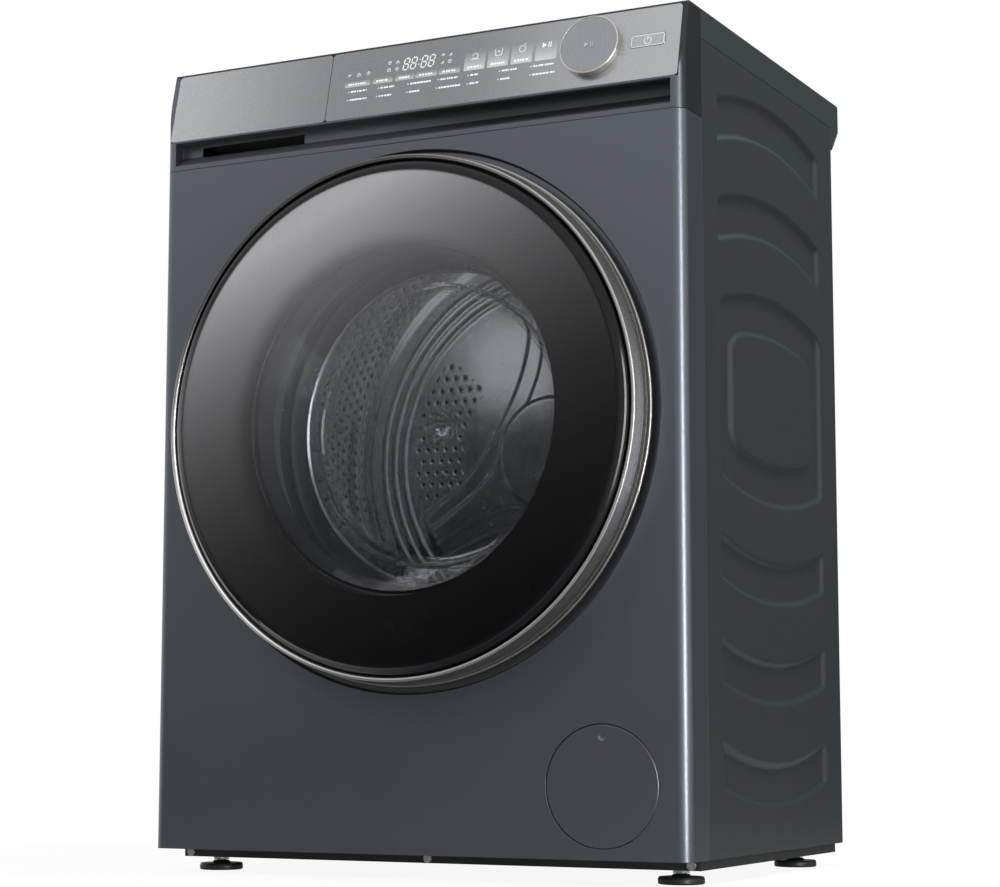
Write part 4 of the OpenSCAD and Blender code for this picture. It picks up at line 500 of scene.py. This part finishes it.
def smoked_coat(s):
    """A light mirror over the whole pane, with a black printed border on the rolled edge."""
    x, _, z = s.xyz()
    dz = s.sub(z, DOOR.z)
    radius = s.reach(x, dz)
    rim = s.spread(radius, GLASS_R - PANE_EDGE[0], GLASS_R - PANE_EDGE[1], 0.0, 1.0)
    low_left = s.math("DIVIDE", s.add(s.mul(x, LOW_LEFT[0]), s.mul(dz, LOW_LEFT[1])), radius)
    rim_share = s.spread(low_left, *RIM_REACH, 0.0, RIM_MIRROR)
    face_share = s.spread(radius, *WINDOW_EDGE, *FACE_MIRROR)
    return s.add(s.mul(rim, s.sub(rim_share, face_share)), face_share), rim


dress(ring_steel(), "door_trim_ring")
dress(paint("ring_black", (0.006, 0.006, 0.007), 0, 0.25, 800, 0.1), "door_outer_ring")
dress(paint("frame_plastic", (0.03, 0.033, 0.036), 0, 0.42, 900, 0.35), "door_inner_frame")
dress(clear_glass("smoked_glass", (0.62, 0.62, 0.65), coat=smoked_coat), "door_glass")
dress(clear_glass("bowl_glass", (0.93, 0.95, 0.95), 0.03), "door_bowl")
dress(paint("gasket_rubber", (0.09, 0.095, 0.10), 0, 0.5, 300, 0.35), "door_gasket")
dress(paint("hose_rubber", (0.015, 0.016, 0.017), 0, 0.5, 400, 0.3), "sump_hose")

# ---- Drum and tub --------------------------------------------------------------------

STEEL = (0.66, 0.67, 0.68)
WALL_R, LIP_R = 0.254, 0.249            # drum wall, and the inner edge of its holed part
WALL_HOLES, WALL_PITCH = 120, 0.0125    # holes round the drum, and their pitch along it
PLATE_PITCH = (0.012, 0.0135)
HOLE_EDGE, DISH_EDGE = (0.0018, 0.0022), (0.002, 0.0048)
STAR_ARMS = [math.radians(a) for a in (90, 210, 330)]
FIELD_R = (0.116, 0.178)                # the plate's holes fill three fields between its arms
FIELD_TURN, FIELD_GAP = math.radians(13), math.radians(31)
FAR = 1000.5                            # added to counts of holes, so that none is negative


def perforated(name, colour, flat=False):
    """Stainless sheet with staggered drain holes, each with a rolled rim: round the drum's wall,
    or in three fields on its flat back. Each hole is painted near black: painted shade for the
    dark seen through it."""
    s = Shader(name)
    x, y, z = s.xyz()
    dz = s.sub(z, DOOR.z)
    angle, radius = s.math("ARCTAN2", dz, x), s.reach(x, dz)
    if flat:
        across, along = PLATE_PITCH
        row, column = s.math("DIVIDE", dz, along), s.math("DIVIDE", x, across)
        turn = s.math("PINGPONG", s.add(angle, FIELD_TURN + math.tau), math.radians(60))
        bare = s.math("MAXIMUM", s.math("LESS_THAN", radius, FIELD_R[0]),
                      s.math("GREATER_THAN", radius, FIELD_R[1]))
        bare = s.math("MAXIMUM", bare, s.math("LESS_THAN", turn, FIELD_GAP))
    else:
        across, along = math.tau * WALL_R / WALL_HOLES, WALL_PITCH
        row = s.math("DIVIDE", s.sub(y, DRUM_FRONT), along)
        column = s.mul(angle, WALL_HOLES / math.tau)
        bare = s.math("LESS_THAN", radius, LIP_R)
    row = s.add(row, FAR)
    stagger = s.mul(s.math("MODULO", s.math("FLOOR", row), 2.0), 0.5)
    column = s.add(s.add(column, stagger), FAR)
    du = s.mul(s.sub(s.math("FRACT", column), 0.5), across)
    dv = s.mul(s.sub(s.math("FRACT", row), 0.5), along)
    dist = s.add(s.reach(du, dv), bare)
    hole_shade = s.spread(dist, *HOLE_EDGE, 1.0, 0.0)
    dish = s.spread(dist, *DISH_EDGE, 0.0, 1.0)
    scratch = s.noise(6, 6, 0.7, (6, 300, 6))
    steel = s.ramp(scratch, [(0.25, tint(colour, 0.92)), (0.75, tint(colour, 1.04))])
    # The holes' near black is painted shade.
    mix = s.node("MixRGB")
    s.link(hole_shade, mix.inputs[0])
    s.link(steel, mix.inputs[1])
    mix.inputs[2].default_value = (0.004, 0.004, 0.004, 1)
    s.put("Base Color", mix.outputs[0])
    s.put("Metallic", s.spread(hole_shade, 0, 1, 1.0, 0.0))
    s.put("Roughness", s.spread(scratch, 0.3, 0.7, 0.2, 0.28))
    s.bump([(dish, 0.9, 0.0010), (scratch, 0.05, 0.00003)])
    return s.mat


# The drum's back plate, in metres: heights, and the radii where its forms begin or end
PLATE_INSET, PLATE_FOOT = 0.0003, 0.0022
ARM_HALF, ARM_BLEND = 0.025, 0.040
STAR_UP, STAR_SLOPE, STAR_EDGES = 0.0026, 0.005, (0.0035, -0.0145)
STAR_R, RIM_R, END_SOFT = 0.186, 0.236, 0.012
HUB_R, HUB_UP, HUB_SLOPE = 0.072, 0.0092, 0.0105
RIDGES, RIDGE_UP, RIDGE_HALF = (0.1935, 0.2065, 0.2195), 0.0022, 0.0052
RIM_UP = 0.003
PLATE_RINGS, PLATE_SPOKES, PLATE_SPOKES_QUICK = 150, 360, 90


def plate_height(r, turn):
    """A three armed star pressed forward in two steps, a hub, ridges and a raised rim."""
    blend = 0.0
    for arm in STAR_ARMS:
        along, off = r * math.cos(turn - arm), r * abs(math.sin(turn - arm))
        off = off if along > 0 else r
        blend += math.exp(-(off - ARM_HALF) / ARM_BLEND)
    star = -ARM_BLEND * math.log(blend)
    up = sum(STAR_UP * ease((edge - star) / STAR_SLOPE) for edge in STAR_EDGES)
    up *= ease((STAR_R - r) / END_SOFT)
    up = max(up, HUB_UP * ease((HUB_R - r) / HUB_SLOPE))
    for ridge in RIDGES:
        up += RIDGE_UP * ease(1 - abs(r - ridge) / RIDGE_HALF)
    return up + RIM_UP * ease((r - RIM_R) / END_SOFT)


def drum_plate():
    """The drum's back, as one pressed sheet."""
    low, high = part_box("drum_back")

    def point(u, v):
        r, turn = (high.x - PLATE_INSET) * max(u, 0.0001), math.tau * v
        return Vector((r * math.cos(turn), high.y - PLATE_FOOT - plate_height(r, turn),
                       DOOR.z + r * math.sin(turn)))

    steel = perforated("drum_back_steel", tint(STEEL, 0.9), flat=True)
    spokes = PLATE_SPOKES
    plate, bm = surface("drum_plate", PLATE_RINGS, spokes, point, steel, "drum")
    bmesh.ops.recalc_face_normals(bm, faces=bm.faces)
    fill(plate, bm)
    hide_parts("drum_back")


drum_plate()
dress(perforated("drum_steel", STEEL), "drum_shell")
dress(paint("lifter_plastic", (0.22, 0.225, 0.235), 0.35, 0.28, 600, 0.15), "drum_lifters")
dress(brushed("bearings_steel", STEEL, 0.25), "bearings")
dress(brushed("heater_steel", STEEL, 0.25), "heater")
dress(paint("cast_alloy", (0.42, 0.43, 0.44), 0.9, 0.5, 250, 0.5), "drum_spider")
dress(brushed("ground_steel", (0.5, 0.51, 0.52), 0.22, (4, 300, 4)), "drum_shaft")
dress(brushed("rotor_steel", (0.42, 0.43, 0.44), 0.35), "motor_rotor")
dress(paint("copper", (0.55, 0.24, 0.10), 0.8, 0.35, 400, 0.5), "motor_stator")
dress(paint("tub_plastic", (0.30, 0.31, 0.32), 0, 0.5, 400, 0.4), "tub_front", "tub_rear")
for weight in ("counterweight_front", "counterweight_top"):
    dress(paint(weight, (0.30, 0.29, 0.27), 0, 0.85, 160, 0.9, 0.001, 0.18), weight)

# ---- Printed and lit marks on the glass ----------------------------------------------

MARK_RANDOM = random.Random(7)
MARK_DEEP = 0.02        # mm that a mark's sides reach back from its face
LINE = 0.5              # mm, the usual line


def around(x, z, r, start, end, steps):
    """Points on an arc, both ends included, with the angles in degrees."""
    turns = [math.radians(start + (end - start) * i / steps) for i in range(steps + 1)]
    return [(x + r * math.cos(a), z + r * math.sin(a)) for a in turns]


def round_box(x0, z0, x1, z1, r, steps=4):
    """Points round a rectangle with corners of radius r."""
    corners = ((x1 - r, z0 + r, -90), (x1 - r, z1 - r, 0), (x0 + r, z1 - r, 90),
               (x0 + r, z0 + r, 180))
    return [p for x, z, start in corners for p in around(x, z, r, start, start + 90, steps)]


class Marks:
    """Thin flat marks on the leaning glass. X is in millimetres from the middle of the machine
    and Z in millimetres above the floor, as the marks are seen from the front."""

    def __init__(self, name, material, body, proud=0.03):
        self.name, self.material, self.body, self.proud = name, material, body, proud
        self.bm = bmesh.new()

    def point(self, x, z, out=0.0):
        up = (z * MM - GLASS_FOOT.z) / math.cos(LEAN)
        out = GLASS_OUT * (self.proud + out) * MM
        return Vector((x * MM, 0, 0)) + GLASS_FOOT + GLASS_UP * up + out

    def face(self, points):
        low = [self.bm.verts.new(self.point(x, z, -MARK_DEEP)) for x, z in points]
        high = [self.bm.verts.new(self.point(x, z)) for x, z in points]
        self.bm.faces.new(high)
        for i in range(len(points)):
            j = (i + 1) % len(points)
            self.bm.faces.new((low[i], low[j], high[j], high[i]))

    def bar(self, x0, z0, x1, z1, r, steps=4):
        """A bar with round corners."""
        self.face(round_box(x0, z0, x1, z1, r, steps))

    def stroke(self, points, width=LINE, closed=False):
        """A line of even width through the points, with square joints."""
        for a, b in zip(points, points[1:] + (points[:1] if closed else [])):
            a, b = Vector(a), Vector(b)
            if (b - a).length < 1e-6:
                continue
            along = (b - a).normalized() * width / 2
            side = Vector((-along.y, along.x))
            a, b = a - along / 2, b + along / 2
            self.face([a + side, a - side, b - side, b + side])

    def arc(self, x, z, r, width=LINE, start=0, end=360, steps=20):
        """An arc, with its steps counted for a full turn."""
        self.stroke(around(x, z, r, start, end, max(3, int(steps * abs(end - start) / 360))),
                    width)

    def dot(self, x, z, r, steps=12):
        self.face(around(x, z, r, 0, 360, steps)[:-1])

    def label(self, x0, x1, z, h=1.9):
        """A caption's place: short plain dashes."""
        x = x0
        while x < x1 - 0.8:
            w = min(MARK_RANDOM.uniform(1.6, 3.6), x1 - x)
            self.bar(x, z - h / 2, x + w, z + h / 2, 0.35, 2)
            x += w + MARK_RANDOM.choice((0.45, 0.45, 1.1))

    def digit(self, x, z, w, h, width, slant):
        """A seven segment eight."""
        end = width * 0.35 + width / 2
        for row in (0, 1, 2):
            up = h * row / 2
            shift = slant * up
            self.stroke([(x + end + shift, z + up), (x + w - end + shift, z + up)], width)
        for col in (0, 1):
            for row in (0, 1):
                low, high = h * row / 2 + end, h * (row + 1) / 2 - end
                self.stroke([(x + w * col + slant * low, z + low),
                             (x + w * col + slant * high, z + high)], width)

    def play_pause(self, x, z, bars):
        """A play sign, with the two bars of a pause sign at these places right of x."""
        self.face([(x - 4.6, z - 3), (x + 0.2, z), (x - 4.6, z + 3)])
        for right in bars:
            self.bar(x + right, z - 3, x + right + 1.0, z + 3, 0.3)

    def done(self):
        bmesh.ops.recalc_face_normals(self.bm, faces=self.bm.faces)
        obj = add_object(self.name)
        fill(obj, self.bm)
        obj.data.materials.append(self.material)
        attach(obj, self.body)


def print_material(name, colour, glow, fade=None):
    """Pale ink with a faint glow: a real glow on the lit display and keys, and painted light on
    plain printed marks. fade = (low, high, share): clear from the height high on, in metres, and
    clear by that share at the height low."""
    s = Shader(name)
    s.put("Base Color", (*colour, 1))
    s.put("Roughness", s.spread(s.noise(200, 2), 0.3, 0.7, 0.45, 0.6))
    s.put("Emission Color", (*colour, 1))
    s.put("Emission Strength", glow)
    if fade:
        share = s.spread(s.xyz()[2], *fade, 1.0, smooth=False)
        s.show(s.mix(share, s.bsdf.outputs[0], s.layer("BsdfTransparent")))
    return s.mat


INK = (0.80, 0.82, 0.84)
# The ink glows as the display's own light on its digits and symbols. On the printed captions and
# outlines the same glow is painted light.
ink = print_material("ink", INK, 0.3)
key_light = print_material("key_light", INK, 0.1, (0.807, 0.829, 0.25))
tab_light = print_material("tab_light", INK, 0.1, (0.807, 0.815, 0.35))

# Display: four digits with a colon between them
DIGIT_Z, DIGIT_SLANT = 819.0, 0.16
display = Marks("display_digits", ink, "cabinet")
for x in (-14.7, -6.0, 6.2, 15.0):
    display.digit(x, DIGIT_Z, w=5.6, h=12.6, width=1.25, slant=DIGIT_SLANT)
for z in (823.0, 828.5):
    display.dot(3.2 + DIGIT_SLANT * (z - DIGIT_Z), z, 0.7)
display.done()


# Status symbols on both sides of the digits, and three at the left


def target(m, x, z):
    m.arc(x, z, 1.7)
    m.dot(x, z, 0.6)


def triangle(m, x, z):
    m.stroke([(x - 1.9, z - 1.5), (x, z + 1.7), (x + 1.9, z - 1.5)], closed=True)


def padlock(m, x, z):
    m.stroke([(x - 1.7, z - 1.7), (x + 1.7, z - 1.7), (x + 1.7, z + 0.6), (x - 1.7, z + 0.6)],
             closed=True)
    m.arc(x, z + 0.6, 1.2, start=0, end=180)


def waves(m, x, z):
    for r in (0.8, 1.7, 2.6):
        m.arc(x, z - 1.4, r, start=40, end=140)


def levels(m, x, z):
    for i in (-1, 0, 1):
        m.bar(x + i * 1.3 - 0.4, z - 1.6, x + i * 1.3 + 0.4, z + 0.2 + i * 1.1, 0.3)


def clock(m, x, z):
    m.arc(x, z, 1.8)
    m.stroke([(x, z), (x, z + 1.2)], 0.45)
    m.stroke([(x, z), (x + 0.9, z)], 0.45)


symbols = Marks("status_symbols", ink, "cabinet")
for x, z, draw in ((-31, 829.5, target), (-21.5, 829.5, triangle), (-31, 821.5, padlock),
                   (-21.5, 821.5, target), (31.5, 829.5, waves), (40, 829.5, levels),
                   (31.5, 821.5, levels), (40, 821.5, clock), (-78, 821, waves),
                   (-66.7, 821, padlock), (-55.4, 821, clock)):
    draw(symbols, x, z)
symbols.done()


# Tabs under the display and the four touch keys, bright along their lower edges


def basin(m, x, z):
    m.arc(x, z - 1, 3.0, 0.6, 200, 520)
    m.stroke([(x - 4.5, z - 4.4), (x + 4.5, z - 4.4)], 0.6)


def tub(m, x, z):
    m.stroke([(x - 4, z + 3.6), (x - 3.2, z - 4), (x + 3.2, z - 4), (x + 4, z + 3.6)], 0.6)
    m.dot(x, z + 0.6, 0.9)


def spray(m, x, z):
    m.arc(x, z - 0.6, 3.4, 0.6, 60, 400)
    m.stroke([(x + 1.2, z + 2.6), (x + 3.6, z + 5.0)], 0.6)


def start(m, x, z):
    m.play_pause(x, z, (1.9, 4.1))


TAB_Z, TAB_TOP, TAB_CAPTION_Z = 807.6, 814, 810.6
KEY_TOP, KEY_SIGN_Z, KEY_CAPTION_Z = 831, 824, 811.2
CORNER_R = 1.2
tabs = Marks("touch_tabs", tab_light, "cabinet")
keys = Marks("touch_keys", key_light, "cabinet")
captions = Marks("captions", ink, "cabinet", 0.06)
for x0, x1 in ((-82, -52), (-48.7, -25.5), (-22, 0), (1.7, 27), (29, 53)):
    tabs.bar(x0, TAB_Z, x1, TAB_TOP, CORNER_R)
    captions.label(x0 + 4, x1 - 5, TAB_CAPTION_Z)
for x0, x1, draw in ((57.4, 81.3, basin), (84, 107.7, tub), (110.5, 134.3, spray),
                     (137.6, 161.4, start)):
    keys.bar(x0, TAB_Z, x1, KEY_TOP, CORNER_R)
    if draw != start:
        captions.label(x0 + 4, x1 - 4, KEY_CAPTION_Z, 2.2)
    draw(captions, (x0 + x1) / 2, KEY_SIGN_Z)

# Programmes: a dot and a caption each, in two rows
for z, spans in ((802.2, ((-76.4, -54.8), (-41, -22.3), (-6, 20.6), (29.3, 51.4),
                          (63.5, 74.8), (99.2, 119.2), (134.3, 159.3))),
                 (793.0, ((-76.4, -53.7), (-41.7, -24.4), (-6, 8.7), (28.2, 56.8),
                          (63.5, 76.3), (98.6, 113.1), (134.3, 161.4)))):
    for x0, x1 in spans:
        captions.dot(x0, z, 0.7)
        captions.label(x0 + 2.4, x1, z)
for marks in (tabs, keys, captions):
    marks.done()

# How far the button's and the knob's faces stand in front of the glass's line, in millimetres
BUTTON_PROUD, KNOB_PROUD = 0.43, 8.32

# Power button: a thin outline with a plain power symbol, both inside the button's edges
button_x = (button_low.x + button_high.x) / 2 / MM
power = Marks("power_mark", ink, "button", BUTTON_PROUD)
power.stroke(round_box(242.8, 807.0, 277.2, 818.6, 2.2), 0.55, closed=True)
power.arc(button_x, 812.5, 3.7, 0.6, 115, 425, 32)
power.stroke([(button_x, 812.7), (button_x, 817.3)], 0.6)
power.done()

# Knob: a plain play and pause sign in the middle of its face
knob_x = (knob_low.x + knob_high.x) / 2 / MM
sign = Marks("knob_sign", print_material("knob_ink", (0.5, 0.52, 0.55), 0.05), "knob",
             KNOB_PROUD)
sign.play_pause(knob_x, 812.9, (1.7, 3.7))
sign.done()

# ---- Stage ---------------------------------------------------------------------------

FLOOR_R = 4.0
FLOOR_FADE = (0.45, 1.3)        # the floor fades into the white world between these radii
FLOOR_PALE = 0.92               # how much of the floor's seen tone is plain white
GLOSSY_FLOOR = 0.28             # its strength in reflections
WORLD_DIM = 0.45                # the world's own light, while it looks white


def seen(s):
    """1 for what the camera, a reflection or a glass sees. Also gives the glossy ray's test."""
    path = s.node("LightPath").outputs
    direct = s.math("MAXIMUM", path["Is Camera Ray"], path["Is Transmission Ray"])
    return s.math("MAXIMUM", path["Is Glossy Ray"], direct), path["Is Glossy Ray"]


def floor_material():
    """Plain pale floor that takes a soft shadow."""
    s = Shader("floor")
    s.put("Base Color", (0.9, 0.9, 0.9, 1))
    s.put("Roughness", 0.9)
    s.put("Specular IOR Level", 0.0)
    x, y, _ = s.xyz()
    shown, glossy = seen(s)
    glow = s.node("Emission")
    s.link(s.spread(glossy, 0, 1, 1.0, GLOSSY_FLOOR), glow.inputs[1])
    pale = s.mix(s.mul(shown, FLOOR_PALE), s.bsdf.outputs[0], glow.outputs[0])
    s.show(s.mix(s.spread(s.reach(x, y), *FLOOR_FADE, 0.0, 1.0), pale,
                 s.layer("BsdfTransparent")))
    return s.mat


def add_floor():
    floor = add_object("floor")
    bm = bmesh.new()
    bmesh.ops.create_circle(bm, cap_ends=True, segments=128, radius=FLOOR_R)
    fill(floor, bm)
    floor.data.materials.append(floor_material())


class Sky(Shader):
    """The world's node tree."""

    def __init__(self, name):
        self.mat = bpy.data.worlds.new(name)
        self.mat.use_nodes = True
        self.tree = self.mat.node_tree
        self.out = self.tree.nodes["World Output"]


add_floor()
sky = Sky("studio")
sky.show(sky.mix(seen(sky)[0], sky.layer("Background", (1, 1, 1), Strength=WORLD_DIM),
                 sky.layer("Background", (1, 1, 1), Strength=1.0)))
bpy.context.scene.world = sky.mat


def lamp(name, place, aim, w, h, watts):
    """A soft rectangular light at place, turned to aim."""
    data = bpy.data.lights.new(name, "AREA")
    data.shape = "RECTANGLE"
    data.size, data.size_y = w, h
    data.energy = watts
    obj = bpy.data.objects.new(name, data)
    obj.location = place
    obj.rotation_euler = (Vector(aim) - Vector(place)).to_track_quat("-Z", "Y").to_euler()
    bpy.context.scene.collection.objects.link(obj)
    return obj


lamp("key", (-2.7, -2.5, 3.2), (0, 0, 0.5), 2.0, 1.6, 105).visible_glossy = False
lamp("fill", (1.05, 0.1, 2.8), (0.3, 0, 0.45), 0.8, 0.8, 66).visible_glossy = False
DRUM_LAMP = 0.12
lamp("drum_lamp_high", (-0.15, -0.085, 0.60), (-0.06, 0.13, 0.45), DRUM_LAMP, DRUM_LAMP,
     0.045).visible_camera = False
lamp("drum_lamp_low", (0.13, -0.09, 0.36), (-0.10, 0.13, 0.42), DRUM_LAMP, DRUM_LAMP,
     0.04).visible_camera = False


def card(name, centre, aim, w, h, material):
    """A card facing aim that only reflections see."""
    obj = add_object(name)
    bm = bmesh.new()
    bm.faces.new([bm.verts.new((x * w / 2, y * h / 2, 0))
                  for x, y in ((-1, -1), (1, -1), (1, 1), (-1, 1))])
    fill(obj, bm)
    out = (Vector(centre) - Vector(aim)).normalized()
    right = out.cross(Vector((0, 0, 1))).normalized()
    turn = Matrix((right, right.cross(out), -out)).transposed().to_4x4()
    obj.matrix_world = Matrix.Translation(centre) @ turn
    obj.data.materials.append(material)
    obj.visible_camera = obj.visible_diffuse = obj.visible_shadow = False


def flag(name, strength):
    """Black that passes some light. strength(u, v, shader) gives how much, from 0 to 1, with u
    to the card's right and v upwards in metres, as seen from the machine."""
    s = Shader(name)
    u, v, _ = s.xyz()
    s.show(s.mix(strength(u, v, s), s.layer("Emission", (0, 0, 0)), s.layer("BsdfTransparent")))
    return s.mat


# The door's light: how fast it falls off to the left and downwards over the door, how fast
# downwards round it, and the half axes of the oval between both
DOOR_FALL, DOOR_DARK = (2.65, 4.23), -2.19
ROUND_FALL, ROUND_LEVEL, ROUND_LEAST = 0.95, 0.72, 0.02
OVAL, OVAL_EDGE = (0.53, 0.61), (1.02, 1.1)


def door_light(u, v, s):
    """Over the door's own reflection light falls off towards the lower left, so that its glass
    goes from grey to black. Round it, light only falls off downwards."""
    slope = s.add(s.mul(u, DOOR_FALL[0]), s.mul(v, DOOR_FALL[1]))
    over_door = s.math("MINIMUM", s.math("EXPONENT", s.add(slope, DOOR_DARK)), 1.0)
    round_door = s.math("MINIMUM", s.add(s.mul(v, ROUND_FALL), ROUND_LEVEL), 1.0)
    round_door = s.math("MAXIMUM", round_door, ROUND_LEAST)
    oval = s.reach(s.math("DIVIDE", u, OVAL[0]), s.math("DIVIDE", v, OVAL[1]))
    outside = s.spread(oval, *OVAL_EDGE, 0.0, 1.0)
    return s.add(over_door, s.mul(outside, s.sub(round_door, over_door)))


def side_light(u, v, s):
    """Little light, slightly more towards the top."""
    return s.add(s.mul(v, 0.02), 0.1)


def strip_light(glow):
    """A light that is brighter towards its foot."""
    s = Shader("corner_strip_light")
    light = s.node("Emission")
    s.link(s.spread(s.xyz()[1], -0.5, 0.5, glow, glow * 0.7, smooth=False), light.inputs[1])
    s.show(light.outputs[0])
    return s.mat


card("door_flag", (-1.485, -2.823, 0.873), (0, -0.25, 0.455), 5.0, 3.4,
     flag("door_flag", door_light))
card("side_flag", (1.1, 2.0, 0.5), (0.3, 0.0, 0.4), 3.0, 4.0, flag("side_flag", side_light))
card("corner_strip", (1.97, -1.30, 0.45), (0.3, -0.25, 0.45), 0.3, 1.6, strip_light(40))

# The photograph's own view: low, from the right
CAMERA_PLACE = (1.131007, -2.235158, 0.148734)
CAMERA_PITCH, CAMERA_TURN = 0.121, 0.470
camera = bpy.data.objects.new("camera", bpy.data.cameras.new("camera"))
bpy.context.scene.collection.objects.link(camera)
camera.location = CAMERA_PLACE
camera.rotation_euler = (math.pi / 2 + CAMERA_PITCH, 0, CAMERA_TURN)
camera.data.lens = 83.93
camera.data.sensor_width = 36
bpy.context.scene.camera = camera
bpy.context.scene.view_settings.view_transform = "Standard"
